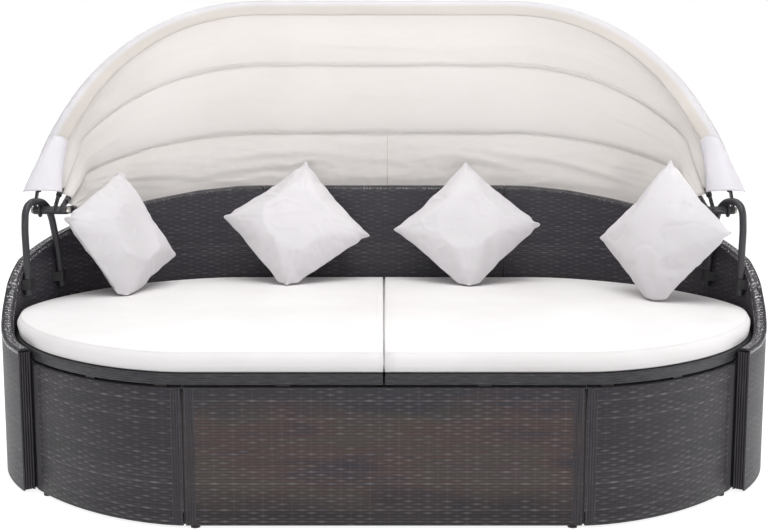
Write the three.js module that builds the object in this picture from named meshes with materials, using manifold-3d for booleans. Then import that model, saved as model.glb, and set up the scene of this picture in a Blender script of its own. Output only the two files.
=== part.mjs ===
// Outdoor daybed with a folding canopy: woven panels over welded steel frames make a ring with
// rounded ends, two deck halves close it, and four steel hoops carry a cloth hood over the back.
// Millimetres, +X to the right, +Y to the back, +Z up. The front of the seat faces -Y.
import * as THREE from 'three';
import { mergeVertices } from 'three/addons/utils/BufferGeometryUtils.js';
import Module from 'manifold-3d';

const wasm = await Module();
wasm.setup();

// Driving dimensions
const overallWidth = 2000;
const straightHalf = 449; // half of the straight stretch at the front and at the back
const baseHalfDepth = 576; // the straight front panel's face, from the middle of the seat
const wallProud = 18; // the tall panels stand this far outside the low front panels
const wallThick = 30;
const wallHeight = 681; // top of the backrest
const armFrontHeight = 358; // top of the arm at its front end
const panelFoot = 5; // all panels end this far above the ground
const baseHeight = 324; // top of the low front panels
const baseThick = 25;
const deckLow = 330;
const deckThick = 24;
const seatHeight = 410; // top of the seat cushions
const seatClear = 5; // from the deck's edge to the tall panels, and to the low panels' face
const seatBackClear = 4;
const splitGap = 5; // between the two deck halves
const wallSeamHalf = 369; // the middle back panel's seams
const panelSeam = 6; // open joint between two low front panels
const wallSeam = 4;
const weaveThick = 4;
const fitGap = 0.3; // pieces that touch keep this
const railSide = 20; // square steel tube in the panels
const hoopTube = 16;
const hoopReach = 705; // from the pivot to a hoop's straight top
const hoodInset = 55; // the hood's widest line, from the part's side
const hoopHalfSpan = overallWidth / 2 - hoodInset;
const hoopFlatHalf = 362; // half of a hoop's straight top
const pivotBack = 128; // pivots, behind the middle of the seat
const pivotHeight = 650;
const boltRadius = 4;
const bracketTube = 19;
const clothThick = 2.4;

// Shape shares: numbers without a length
const baseRoundShare = 1.64; // power of the rounded ends of the low panels
const wallRoundShare = 1.75;
const seatRoundShare = 1.7;
const hoopRoundShare = 2.1;
const sharpTurn = 0.5; // in degrees, the arm's end plate covers this much of the plan's turn
const armFrontDeg = 54; // plan angle of the arm's front end, 0 at the front and 180 at the back
const baseEndDeg = 52;

// Hoop angles above the level, to the back, in the photographed state
const hoopAngles = { rear: -3, third: 16, second: 35.5, front: 53.5 };

const steel = new THREE.MeshStandardMaterial({ color: '#4a484c', roughness: 0.45, metalness: 0.6 });
const zinc = new THREE.MeshStandardMaterial({ color: '#8f8f92', roughness: 0.35, metalness: 1 });
const wicker = new THREE.MeshStandardMaterial({ color: '#40393a', roughness: 0.55, metalness: 0 });
const canvas = new THREE.MeshStandardMaterial({ color: '#ece6db', roughness: 0.9, metalness: 0 });
const coverCloth = new THREE.MeshStandardMaterial({ color: '#f3f0ee', roughness: 0.9, metalness: 0 });
const plastic = new THREE.MeshStandardMaterial({ color: '#1d1d1f', roughness: 0.6, metalness: 0 });

const wallSide = overallWidth / 2 - straightHalf; // a rounded end's run past the straight stretch
const seatFront = baseHalfDepth - seatClear;
const seatBack = baseHalfDepth + wallProud - wallThick - seatBackClear;
const wallPlan = {
  flat: straightHalf,
  side: wallSide,
  front: baseHalfDepth + wallProud,
  back: baseHalfDepth + wallProud,
  power: wallRoundShare,
};
const basePlan = {
  flat: straightHalf,
  side: wallSide - wallProud,
  front: baseHalfDepth,
  back: baseHalfDepth,
  power: baseRoundShare,
};
const seatPlan = {
  flat: straightHalf,
  side: wallSide - wallThick - seatClear,
  front: seatFront,
  back: seatBack,
  power: seatRoundShare,
};

// A point on the right half of a plan, at an angle from 0 at the front to 180 at the back, moved
// inwards along the outline's normal.
function planPoint(plan, angleDeg, inset = 0) {
  const turn = THREE.MathUtils.degToRad(angleDeg);
  const facing = Math.cos(turn) > 0 ? -1 : 1;
  const reach = facing < 0 ? plan.front : plan.back;
  const across = Math.abs(Math.sin(turn)) ** (2 / plan.power);
  const along = Math.abs(Math.cos(turn)) ** (2 / plan.power);
  const normal = new THREE.Vector2(
    across ** (plan.power - 1) / plan.side,
    (facing * along ** (plan.power - 1)) / reach,
  ).normalize();
  return new THREE.Vector2(
    plan.flat + plan.side * across - inset * normal.x,
    facing * reach * along - inset * normal.y,
  );
}

// A station gives the plan point for any inset; angle is kept for heights that vary along a plan.
function roundStation(plan, angle) {
  return { angle, at: (inset) => planPoint(plan, angle, inset) };
}

function straightStation(plan, x, angle) {
  const facing = angle < 90 ? -1 : 1;
  const reach = facing < 0 ? plan.front : plan.back;
  return { angle, at: (inset) => new THREE.Vector2(x, facing * (reach - inset)) };
}

function roundStations(plan, from, to, count) {
  return Array.from({ length: count + 1 }, (_, step) =>
    roundStation(plan, THREE.MathUtils.lerp(from, to, step / count)));
}

// The tall end panels' stations, from the arm's front end to the seam in the back
const wallStepCount = 24;
const armEndDeg = 5; // the first turn after the end plate
const wallStations = [
  roundStation(wallPlan, armFrontDeg),
  roundStation(wallPlan, armFrontDeg + sharpTurn),
  ...roundStations(wallPlan, armFrontDeg + armEndDeg, 180, wallStepCount),
  straightStation(wallPlan, wallSeamHalf + wallSeam / 2, 181),
];

// The tall panels' distance from the middle at a place along Y, moved inwards
function wallAt(y, inset) {
  const line = wallStations.map((station) => station.at(inset));
  const next = line.findIndex((p) => p.y >= y);
  const [from, to] = [line[next - 1], line[next]];
  return THREE.MathUtils.mapLinear(y, from.y, to.y, from.x, to.x);
}

function indexed(geometry) {
  const bare = geometry.clone();
  bare.deleteAttribute('normal');
  bare.deleteAttribute('uv');
  return mergeVertices(bare, 1e-4);
}

// Faces turned outwards: the signed volume tells which way they point
function outward(geometry) {
  const place = geometry.getAttribute('position');
  const corners = geometry.getIndex();
  const [a, b, c] = [new THREE.Vector3(), new THREE.Vector3(), new THREE.Vector3()];
  let volume = 0;
  for (let face = 0; face < corners.count; face += 3) {
    a.fromBufferAttribute(place, corners.getX(face));
    b.fromBufferAttribute(place, corners.getX(face + 1));
    c.fromBufferAttribute(place, corners.getX(face + 2));
    volume += a.dot(b.cross(c));
  }
  if (volume < 0) {
    for (let face = 0; face < corners.count; face += 3) {
      const second = corners.getX(face + 1);
      corners.setX(face + 1, corners.getX(face + 2));
      corners.setX(face + 2, second);
    }
  }
  return geometry;
}

function fromLists(points, faces) {
  const geometry = new THREE.BufferGeometry().setFromPoints(points);
  geometry.setIndex(faces);
  return outward(geometry);
}

// The faces that close a flat outline, in the outline's own sense
function endFaces(outline) {
  const faces = THREE.ShapeUtils.triangulateShape(outline, []);
  return THREE.ShapeUtils.isClockWise(outline) ? faces.map(([a, b, c]) => [a, c, b]) : faces;
}

// A closed solid through loops of equal count, with the faces that close its two ends
function loft(loops, ends) {
  const count = loops[0].length;
  const last = (loops.length - 1) * count;
  const faces = [];
  for (let row = 0; row < loops.length - 1; row += 1) {
    for (let k = 0; k < count; k += 1) {
      const a = row * count + k;
      const b = row * count + ((k + 1) % count);
      faces.push(a, b, b + count, a, b + count, a + count);
    }
  }
  for (const [a, b, c] of ends) faces.push(a, c, b, last + a, last + b, last + c);
  return fromLists(loops.flat(), faces);
}

// A section of [inset, height] pairs swept along the stations of a plan, on one side of the part
function sweep(stations, section, side) {
  const outline = section(stations[0]).map(([inset, z]) => new THREE.Vector2(inset, z));
  const loops = stations.map((station) => section(station).map(([inset, z]) => {
    const place = station.at(inset);
    return new THREE.Vector3(side * place.x, place.y, z);
  }));
  return loft(loops, endFaces(outline));
}

function solid(geometry) {
  const clean = outward(indexed(geometry));
  return new wasm.Manifold(new wasm.Mesh({
    numProp: 3,
    vertProperties: new Float32Array(clean.getAttribute('position').array),
    triVerts: new Uint32Array(clean.getIndex().array),
  }));
}

function geometryOf(manifold) {
  const mesh = manifold.getMesh();
  const geometry = new THREE.BufferGeometry();
  geometry.setAttribute('position', new THREE.BufferAttribute(new Float32Array(mesh.vertProperties), 3));
  geometry.setIndex(new THREE.BufferAttribute(new Uint32Array(mesh.triVerts), 1));
  return geometry;
}

function joined(geometries) {
  return geometries.map(solid).reduce((whole, next) => whole.add(next));
}

function circle(radius, sides) {
  const shape = new THREE.Shape();
  for (let k = 0; k < sides; k += 1) {
    const turn = ((k + 0.5) / sides) * Math.PI * 2;
    if (k === 0) shape.moveTo(radius * Math.cos(turn), radius * Math.sin(turn));
    else shape.lineTo(radius * Math.cos(turn), radius * Math.sin(turn));
  }
  return shape;
}

function tubeAlong(curve, radius, sides, steps) {
  return new THREE.ExtrudeGeometry(circle(radius, sides), { steps, bevelEnabled: false, extrudePath: curve });
}

// A round bar along X between two places
function barAcross(fromX, toX, y, z, radius, sides) {
  const length = Math.abs(toX - fromX);
  const bar = new THREE.CylinderGeometry(radius, radius, length, sides);
  bar.rotateZ(Math.PI / 2);
  bar.translate((fromX + toX) / 2, y, z);
  return bar;
}

function box(sizeX, sizeY, sizeZ, x, y, z) {
  return new THREE.BoxGeometry(sizeX, sizeY, sizeZ).translate(x, y, z);
}

// An upright post that stands square to a plan at one angle
function post(plan, angle, side, insetNear, insetFar, width, low, high) {
  const near = planPoint(plan, angle, insetNear);
  const far = planPoint(plan, angle, insetFar);
  const bar = new THREE.BoxGeometry(width, insetFar - insetNear, high - low);
  bar.rotateZ(Math.atan2(far.y - near.y, far.x - near.x) - Math.PI / 2);
  bar.translate((near.x + far.x) / 2, (near.y + far.y) / 2, (low + high) / 2);
  if (side < 0) bar.scale(-1, 1, 1);
  return bar;
}

const model = new THREE.Group();

function place(name, geometry, material, parent = model) {
  const mesh = new THREE.Mesh(geometry, material);
  mesh.name = name;
  parent.add(mesh);
  return mesh;
}

const sides = [['left', -1], ['right', 1]];

// Low front panels: a woven skin turned back at its top and foot, over a welded ring frame

const channelSection = () => [
  [0, panelFoot], [0, baseHeight], [baseThick, baseHeight], [baseThick, baseHeight - weaveThick],
  [weaveThick, baseHeight - weaveThick], [weaveThick, panelFoot + weaveThick],
  [baseThick, panelFoot + weaveThick], [baseThick, panelFoot],
];
const baseFrameNear = weaveThick + fitGap;
const baseFrameLow = panelFoot + weaveThick + fitGap;
const baseFrameHigh = baseHeight - weaveThick - fitGap;
const bottomRail = () => [
  [baseFrameNear, baseFrameLow], [baseFrameNear, baseFrameLow + railSide],
  [baseThick, baseFrameLow + railSide], [baseThick, baseFrameLow],
];
const topRail = () => [
  [baseFrameNear, baseFrameHigh - railSide], [baseFrameNear, baseFrameHigh],
  [baseThick, baseFrameHigh], [baseThick, baseFrameHigh - railSide],
];

const baseMiddleHalf = straightHalf - panelSeam / 2;

function frontPanelFrame(stations, side, postAngles, straightPosts) {
  const parts = [sweep(stations, bottomRail, side), sweep(stations, topRail, side)];
  const postInset = 4 * fitGap; // a post sits this far inside its rails' faces
  for (const angle of postAngles) {
    parts.push(post(basePlan, angle, side, baseFrameNear + postInset, baseThick - postInset, railSide,
      baseFrameLow + railSide / 2, baseFrameHigh - railSide / 2));
  }
  for (const x of straightPosts) {
    parts.push(box(railSide, baseThick - baseFrameNear - 2 * postInset,
      baseFrameHigh - baseFrameLow - railSide, x, -baseHalfDepth + (baseFrameNear + baseThick) / 2,
      (baseFrameLow + baseFrameHigh) / 2));
  }
  return geometryOf(joined(parts));
}

const middleStations = [-baseMiddleHalf, baseMiddleHalf].map((x) => straightStation(basePlan, x, 0));
place('base_weave_centre', sweep(middleStations, channelSection, 1), wicker);
place('base_frame_centre', frontPanelFrame(middleStations, 1, [],
  [-1, -0.5, 0, 0.5, 1].map((share) => share * (baseMiddleHalf - railSide / 2))), steel);

const baseCornerCount = 15;
const baseFirstDeg = 1.7;
const basePostDegs = [3.5, 17, 34, 50.6];
for (const [label, side] of sides) {
  const stations = [
    straightStation(basePlan, straightHalf + panelSeam / 2, 0),
    ...roundStations(basePlan, baseFirstDeg, baseEndDeg, baseCornerCount),
  ];
  place(`base_weave_${label}`, sweep(stations, channelSection, side), wicker);
  place(`base_frame_${label}`, frontPanelFrame(stations, side, basePostDegs, []), steel);
}

// Tall back and arm panels: the weave folds over the frame's top rail and is open at its foot

const armHeightShares = [
  [54, 0], [64, 0.006], [72, 0.04], [80, 0.13], [86, 0.24], [92, 0.36], [100, 0.508], [110, 0.604],
  [120, 0.697], [135, 0.811], [150, 0.895], [165, 0.96], [180, 0.994], [181, 1],
];

function wallTopAt(angle) {
  const found = armHeightShares.findIndex(([at]) => at >= angle);
  const next = found < 0 ? armHeightShares.length - 1 : Math.max(found, 1);
  const [fromAngle, fromShare] = armHeightShares[next - 1];
  const [toAngle, toShare] = armHeightShares[next];
  const way = THREE.MathUtils.clamp((angle - fromAngle) / (toAngle - fromAngle), 0, 1);
  return armFrontHeight + (wallHeight - armFrontHeight) * THREE.MathUtils.lerp(fromShare, toShare, way);
}

const wallEdgeRound = 8;

// The outer face's upper end, over the rounded top and down to the inner face
function roundedTop(top) {
  const turns = [0, Math.PI / 4, Math.PI / 2];
  const low = top - wallEdgeRound;
  const rise = turns.map((turn) => [
    wallEdgeRound * (1 - Math.cos(turn)), low + wallEdgeRound * Math.sin(turn),
  ]);
  const fall = turns.map((turn) => [
    wallThick - wallEdgeRound * (1 - Math.sin(turn)), low + wallEdgeRound * Math.cos(turn),
  ]);
  return [...rise, ...fall];
}

function wallSection(station) {
  const top = wallTopAt(station.angle);
  const under = top - weaveThick;
  return [
    [0, panelFoot], ...roundedTop(top), [wallThick, panelFoot],
    [wallThick - weaveThick, panelFoot], [wallThick - weaveThick, under],
    [weaveThick, under], [weaveThick, panelFoot],
  ];
}

function wallEndSection(station) {
  return [[0, panelFoot], ...roundedTop(wallTopAt(station.angle)), [wallThick, panelFoot]];
}

const wallFrameNear = weaveThick + fitGap;
const wallFrameFar = wallThick - weaveThick - fitGap;
const wallBottomRail = () => [
  [wallFrameNear, panelFoot], [wallFrameNear, panelFoot + railSide],
  [wallFrameFar, panelFoot + railSide], [wallFrameFar, panelFoot],
];
const wallPostDegs = [57, 68, 80, 93, 107, 122, 138, 157];
const railSlack = 1.5; // the top rail stays this far under the folded weave
const postDrop = 16; // the posts end this far under it, inside the top rail
const wallPostInset = 3 * fitGap;
const wallTopRail = (station) => {
  const top = wallTopAt(station.angle) - weaveThick - railSlack;
  const low = top - railSide;
  return [[wallFrameNear, low], [wallFrameNear, top], [wallFrameFar, top], [wallFrameFar, low]];
};

const backHalf = wallSeamHalf - wallSeam / 2;
const backStations = [-backHalf, backHalf].map((x) => straightStation(wallPlan, x, 181));
place('back_weave_centre', sweep(backStations, wallSection, 1), wicker);
const backPostY = wallPlan.back - wallThick / 2;
const backPostX = backHalf - railSide / 2;
const backTopMiddle = wallHeight - weaveThick - fitGap - railSide / 2;
const backPost = (x) => box(railSide, wallFrameFar - wallFrameNear - 2 * fitGap,
  backTopMiddle - panelFoot - railSide / 2, x, backPostY, (backTopMiddle + panelFoot + railSide / 2) / 2);
place('back_frame_centre', geometryOf(joined([
  sweep(backStations, wallBottomRail, 1), sweep(backStations, wallTopRail, 1),
  ...[-1, -0.5, 0, 0.5, 1].map((way) => backPost(way * backPostX)),
])), steel);

for (const [label, side] of sides) {
  place(`back_weave_${label}`, geometryOf(joined([
    sweep(wallStations, wallSection, side), sweep(wallStations.slice(0, 2), wallEndSection, side),
  ])), wicker);
  const frameStations = [roundStation(wallPlan, armFrontDeg + sharpTurn * 1.1), ...wallStations.slice(2)];
  const posts = wallPostDegs.map((angle) => post(wallPlan, angle, side,
    wallFrameNear + wallPostInset, wallFrameFar - wallPostInset, railSide, panelFoot + railSide / 2,
    wallTopAt(angle) - weaveThick - postDrop));
  const endPost = backPost(side * (wallSeamHalf + wallSeam / 2 + railSide / 2));
  place(`back_frame_${label}`, geometryOf(joined([
    sweep(frameStations, wallBottomRail, side), sweep(frameStations, wallTopRail, side), ...posts, endPost,
  ])), steel);
}

// Ledgers screwed to the inside of the tall panels carry the decks

const ledgerDeep = 18;
const ledgerNear = wallThick + fitGap;
const ledgerFar = ledgerNear + ledgerDeep;
const ledgerTop = deckLow - fitGap;
const ledgerSection = () => [
  [ledgerNear, ledgerTop - railSide], [ledgerNear, ledgerTop],
  [ledgerFar, ledgerTop], [ledgerFar, ledgerTop - railSide],
];
place('ledger_centre', sweep(backStations, ledgerSection, 1), steel);
const ledgerStations = wallStations.slice(3);
for (const [label, side] of sides) {
  place(`ledger_${label}`, sweep(ledgerStations, ledgerSection, side), steel);
}

// Decks: a woven lid with a skirt over a welded frame with cross rails and pads

const seatStepCount = 26;

function seatOutline(side, inset, splitInset) {
  const split = splitGap / 2 + splitInset;
  const points = [new THREE.Vector2(split, -seatFront + inset)];
  for (let step = 0; step <= seatStepCount; step += 1) {
    points.push(planPoint(seatPlan, (180 * step) / seatStepCount, inset));
  }
  points.push(new THREE.Vector2(split, seatBack - inset));
  return points.map((p) => new THREE.Vector2(side * p.x, p.y));
}

function slab(outline, low, high) {
  return new THREE.ExtrudeGeometry(new THREE.Shape(outline), { depth: high - low, bevelEnabled: false })
    .translate(0, 0, low);
}

const deckHigh = deckLow + deckThick;
const deckFrameInset = weaveThick + fitGap;
const crossRailCount = 4;
const padSide = 30;
const padNear = 6; // a pad's outer and inner side, from the deck's edge
const padDeep = 19;
const padOver = 5; // a pad runs this far up into its rail
const padAngles = [8, 30];

for (const [label, side] of sides) {
  const lid = solid(slab(seatOutline(side, 0, 0), deckLow, deckHigh));
  const hollow = solid(slab(seatOutline(side, weaveThick, weaveThick), deckLow - weaveThick,
    deckHigh - weaveThick));
  place(`deck_weave_${label}`, geometryOf(lid.subtract(hollow)), wicker);

  const frameHigh = deckHigh - weaveThick - fitGap;
  const body = solid(slab(seatOutline(side, deckFrameInset, deckFrameInset), deckLow, frameHigh));
  const room = solid(slab(seatOutline(side, deckFrameInset + railSide, deckFrameInset + railSide),
    deckLow - railSide, frameHigh + railSide));
  const railPitch = overallWidth / (2 * crossRailCount + 2);
  const rails = Array.from({ length: crossRailCount }, (_, k) => box(railSide, seatFront + seatBack,
    frameHigh - deckLow, side * railPitch * (k + 1), (seatBack - seatFront) / 2, (deckLow + frameHigh) / 2));
  const padLow = baseHeight + fitGap;
  const pads = padAngles.map((angle) => post(seatPlan, angle, side, padNear, padDeep, padSide,
    padLow, deckLow + padOver));
  pads.push(box(padSide, padDeep - padNear, deckLow + padOver - padLow, (side * straightHalf) / 2,
    (padNear + padDeep) / 2 - seatFront, (padLow + deckLow + padOver) / 2));
  let frame = body.subtract(room);
  for (const rail of rails) frame = frame.add(solid(rail).intersect(body));
  for (const pad of pads) frame = frame.add(solid(pad));
  place(`deck_frame_${label}`, geometryOf(frame), steel);
}

// Beam from front to back under the split, with a middle leg

const beamSide = 30;
const beamFront = -baseHalfDepth + baseThick + fitGap;
const beamBack = wallPlan.back - wallThick - ledgerDeep - 2 * fitGap;
const beamMiddle = deckLow - fitGap - beamSide / 2;
const glideHigh = panelFoot - fitGap;
place('centre_beam', geometryOf(joined([
  box(beamSide, beamBack - beamFront, beamSide, 0, (beamFront + beamBack) / 2, beamMiddle),
  box(beamSide, beamSide, beamMiddle - panelFoot, 0, 0, (beamMiddle + panelFoot) / 2),
])), steel);

// Glides under the panels and the beam's leg

const glideRadius = 11;
const glideSideCount = 16;
const glidePlaces = { centre: [0, 0] };
for (const [label, side] of sides) {
  const corner = planPoint(basePlan, baseEndDeg - 3, baseThick / 2);
  const arm = planPoint(wallPlan, armFrontDeg + 6, wallThick / 2);
  const rear = planPoint(wallPlan, 140, wallThick / 2);
  glidePlaces[`front_${label}`] = [side * (baseMiddleHalf - railSide), -baseHalfDepth + baseThick / 2];
  glidePlaces[`corner_${label}`] = [side * corner.x, corner.y];
  glidePlaces[`arm_${label}`] = [side * arm.x, arm.y];
  glidePlaces[`rear_${label}`] = [side * rear.x, rear.y];
}
for (const [name, [x, y]] of Object.entries(glidePlaces)) {
  const glide = new THREE.CylinderGeometry(glideRadius, glideRadius, glideHigh, glideSideCount);
  place(`foot_glide_${name}`, glide.rotateX(Math.PI / 2).translate(x, y, glideHigh / 2), plastic);
}

// Seat cushions: rings from the under side to the crown, with a fuller middle and drawn-in sides

const cushionLow = deckHigh + fitGap;
const cushionFull = seatHeight - cushionLow;
const cushionEdge = 6; // the widest ring stays this far inside the deck's edge
const cushionWaist = 5; // the seams are drawn in from the widest ring
const cushionFoot = 12;
const cushionShoulder = 15;
const cushionCrown = 70;
const cushionSplit = 1;
const cushionMiddleShare = 0.22; // of the overall width

function cushion(side) {
  // [inset from the outline, share of the height]
  const edge = cushionEdge;
  const rings = [
    [edge + cushionFoot, 0], [edge + cushionWaist, 0.06], [edge, 0.3], [edge, 0.55],
    [edge + cushionWaist, 0.82], [edge + cushionShoulder, 0.92], [edge + cushionCrown, 0.985],
  ];
  const points = [];
  const faces = [];
  let count = 0;
  for (const [inset, heightShare] of rings) {
    const ring = seatOutline(side, inset, inset - edge + cushionSplit);
    count = ring.length;
    ring.forEach((p) => points.push(new THREE.Vector3(p.x, p.y, cushionLow + cushionFull * heightShare)));
  }
  const topRing = points.length;
  const middle = new THREE.Vector2(side * overallWidth * cushionMiddleShare, (seatBack - seatFront) / 2);
  for (const p of seatOutline(side, edge + cushionCrown, cushionCrown)) {
    const half = p.clone().lerp(middle, 0.5);
    points.push(new THREE.Vector3(half.x, half.y, cushionLow + cushionFull));
  }
  const ringCount = rings.length + 1;
  for (let row = 0; row < ringCount - 1; row += 1) {
    for (let k = 0; k < count; k += 1) {
      const a = row * count + k;
      const b = row * count + ((k + 1) % count);
      faces.push(a, b, b + count, a, b + count, a + count);
    }
  }
  const under = points.length;
  points.push(new THREE.Vector3(middle.x, middle.y, cushionLow));
  points.push(new THREE.Vector3(middle.x, middle.y, cushionLow + cushionFull));
  for (let k = 0; k < count; k += 1) {
    const next = (k + 1) % count;
    faces.push(next, k, under, topRing + k, topRing + next, under + 1);
  }
  return fromLists(points, faces);
}

const cushionSolids = {};
for (const [label, side] of sides) {
  const shape = cushion(side);
  cushionSolids[label] = shape;
  place(`seat_cushion_${label}`, shape, coverCloth);
}

// Canopy brackets: bent tubes on the arms' inner side, with a lug for the pivot bolt

const bracketFoot = 430;
const bracketFrontY = 46;
const bracketDeep = 159;
const bracketHigh = 245.5;
// [share of the depth, share of the height] along the bent tube
const rearLegShares = [0.94, 0.34];
const bracketShares = [
  [0, 0], [0, 0.45], [0, 0.8], [0.06, 0.93], [0.22, 0.992], [0.42, 1], [0.62, 0.965], [0.76, 0.87],
  [0.86, 0.66], rearLegShares, [1, 0],
];
const bracketInset = wallThick + fitGap + bracketTube / 2;
const bracketSideCount = 10;
const bracketStepCount = 26;
const lugRadius = 19;
const lugThick = 5;
const boltClear = 0.6;
const boltSideCount = 16;
const eyeSideCount = 20;
const lugX = wallAt(pivotBack, bracketInset);
const clipHigh = 26;
const clipWide = 38;
const clipCover = 3.5;
const clipHeightShare = 0.12;

function bracketCurve(side) {
  return new THREE.CatmullRomCurve3(bracketShares.map(([deep, high]) => {
    const y = bracketFrontY + bracketDeep * deep;
    return new THREE.Vector3(side * wallAt(y, bracketInset), y, bracketFoot + bracketHigh * high);
  }), false, 'centripetal');
}

for (const [label, side] of sides) {
  const curve = bracketCurve(side);
  const tube = tubeAlong(curve, bracketTube / 2, bracketSideCount, bracketStepCount);
  const lug = barAcross(side * (lugX - lugThick / 2), side * (lugX + lugThick / 2), pivotBack, pivotHeight,
    lugRadius, eyeSideCount);
  const hole = barAcross(side * (lugX - lugThick), side * (lugX + lugThick), pivotBack, pivotHeight,
    boltRadius + boltClear, boltSideCount);
  place(`canopy_bracket_${label}`, geometryOf(solid(tube).add(solid(lug)).subtract(solid(hole))), steel);

  const sleeve = solid(tubeAlong(curve, bracketTube / 2 + fitGap, bracketSideCount, bracketStepCount));
  const wallRoom = solid(sweep(wallStations, () => [
    [-wallThick, 0], [-wallThick, wallHeight], [wallThick + fitGap, wallHeight], [wallThick + fitGap, 0],
  ], side));
  const clipZ = bracketFoot + bracketHigh * clipHeightShare;
  const [legShare, legHighShare] = rearLegShares;
  const rearShare = THREE.MathUtils.lerp(1, legShare, clipHeightShare / legHighShare);
  for (const [where, deepShare] of [['front', 0], ['rear', rearShare]]) {
    const y = bracketFrontY + bracketDeep * deepShare;
    const clipDeep = bracketTube + clipCover;
    const clip = box(2 * clipDeep, clipWide, clipHigh, side * wallAt(y, wallThick), y, clipZ);
    const saddle = solid(clip).subtract(sleeve).subtract(wallRoom);
    place(`bracket_clip_${where}_${label}`, geometryOf(saddle), steel);
  }
}

// Hoops: one shape for all, a straight top with round corners down to the pivots. The front hoop
// runs outside its bracket and the others inside, side by side, so that they fold past each other.

const hoopStart = 62; // the round tube begins here, with a flat tang between it and the bolt
const tangThick = 4.5;
const tangWide = 22;
const tangInTube = 18.6; // the tang's length inside the tube
const tangLong = hoopStart + tangInTube;
const eyeRadius = 11;
const hoopClear = 0.5;
const hoopPitch = hoopTube + hoopClear;
const hoopSideCount = 8;
const hoopStepCount = 40;
const spreadReach = 300; // past this radius all hoops have the same width
const besideBracket = bracketTube / 2 + fitGap + tangThick / 2;
const insideShare = 0.3; // where the inner hoops pass the bracket, as a share of its depth
const insideStart = wallAt(pivotBack + insideShare * bracketDeep, bracketInset) - besideBracket;
const outsideStart = lugX + besideBracket;
const hoops = {
  rear: { angle: hoopAngles.rear, pivotX: insideStart - 2 * hoopPitch - hoopTube / 2 },
  third: { angle: hoopAngles.third, pivotX: insideStart - hoopPitch - hoopTube / 2 },
  second: { angle: hoopAngles.second, pivotX: insideStart - hoopTube / 2 },
  front: { angle: hoopAngles.front, pivotX: outsideStart + hoopTube / 4 },
};

// Half-width of a hoop at a radius from the pivot line
function hoopWidth(hoop, radius) {
  const share = Math.min(radius / hoopReach, 1);
  const round = (1 - share ** hoopRoundShare) ** (1 / hoopRoundShare);
  const full = hoopFlatHalf + (hoopHalfSpan - hoopFlatHalf) * round;
  const near = Math.sqrt(Math.max(1 - (radius / spreadReach) ** 2, 0));
  return full - (hoopHalfSpan - hoop.pivotX) * near;
}

class HoopCurve extends THREE.Curve {
  constructor(hoop) {
    super();
    this.hoop = hoop;
  }

  getPoint(way, target = new THREE.Vector3()) {
    const { hoop } = this;
    const tilt = THREE.MathUtils.degToRad(hoop.angle);
    const cornerPart = 0.4; // share of the way that each side leg and corner takes
    const start = Math.asin((hoopStart / hoopReach) ** (hoopRoundShare / 2));
    let x;
    let radius;
    if (way > cornerPart && way < 1 - cornerPart) {
      radius = hoopReach;
      x = hoopFlatHalf * THREE.MathUtils.mapLinear(way, cornerPart, 1 - cornerPart, -1, 1);
    } else {
      const nearEnd = Math.min(way, 1 - way) / cornerPart;
      const turn = THREE.MathUtils.lerp(start, Math.PI / 2, nearEnd);
      radius = hoopReach * Math.sin(turn) ** (2 / hoopRoundShare);
      x = Math.sign(way - 0.5) * hoopWidth(hoop, radius);
    }
    return target.set(x, pivotBack + radius * Math.cos(tilt), pivotHeight + radius * Math.sin(tilt));
  }
}

const eyeSpans = {
  front: [lugX + lugThick / 2 + fitGap, hoops.front.pivotX + tangThick / 2],
  second: [hoops.second.pivotX - tangThick / 2, lugX - lugThick / 2 - fitGap],
  third: [hoops.third.pivotX - tangThick / 2, hoops.second.pivotX - tangThick / 2 - fitGap],
  rear: [hoops.rear.pivotX - tangThick / 2, hoops.third.pivotX - tangThick / 2 - fitGap],
};

function hoopGeometry(name) {
  const hoop = hoops[name];
  let body = solid(tubeAlong(new HoopCurve(hoop), hoopTube / 2, hoopSideCount, hoopStepCount));
  for (const [, side] of sides) {
    const [eyeFrom, eyeTo] = eyeSpans[name];
    const tang = box(tangThick, tangLong, tangWide, side * hoop.pivotX, tangLong / 2, 0);
    tang.rotateX(THREE.MathUtils.degToRad(hoop.angle));
    tang.translate(0, pivotBack, pivotHeight);
    const eye = barAcross(side * eyeFrom, side * eyeTo, pivotBack, pivotHeight, eyeRadius, eyeSideCount);
    const hole = barAcross(side * (eyeFrom - eyeRadius), side * (eyeTo + eyeRadius), pivotBack, pivotHeight,
      boltRadius + boltClear, boltSideCount);
    body = body.add(solid(tang)).add(solid(eye)).subtract(solid(hole));
  }
  return geometryOf(body);
}

for (const name of Object.keys(hoops)) place(`hoop_${name}`, hoopGeometry(name), steel);

// Pivot bolts with a domed head outside and a nut inside

const headRadius = 9;
const headThick = 5;
const nutThick = 7;
const boltOuter = eyeSpans.front[1] + fitGap;
const boltInner = eyeSpans.rear[0] - fitGap;
const headSideCount = 24;
const nutSideCount = 6;
for (const [label, side] of sides) {
  const shank = barAcross(side * (boltInner - nutThick), side * boltOuter, pivotBack, pivotHeight,
    boltRadius, boltSideCount);
  const head = barAcross(side * boltOuter, side * (boltOuter + headThick), pivotBack, pivotHeight,
    headRadius, headSideCount);
  place(`pivot_bolt_${label}`, geometryOf(joined([shank, head])), zinc);
  const nut = solid(barAcross(side * (boltInner - nutThick), side * boltInner, pivotBack, pivotHeight,
    headRadius, nutSideCount));
  const thread = solid(barAcross(side * (boltInner - 2 * nutThick), side * (boltInner + nutThick), pivotBack,
    pivotHeight, boltRadius + fitGap, boltSideCount));
  place(`pivot_nut_${label}`, geometryOf(nut.subtract(thread)), zinc);
}

// Scatter cushions: square, full in the middle, thin at the edge, with sides drawn in between
// corners. They stand on one corner, flattened on the seat, and lean on the backrest.

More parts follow.
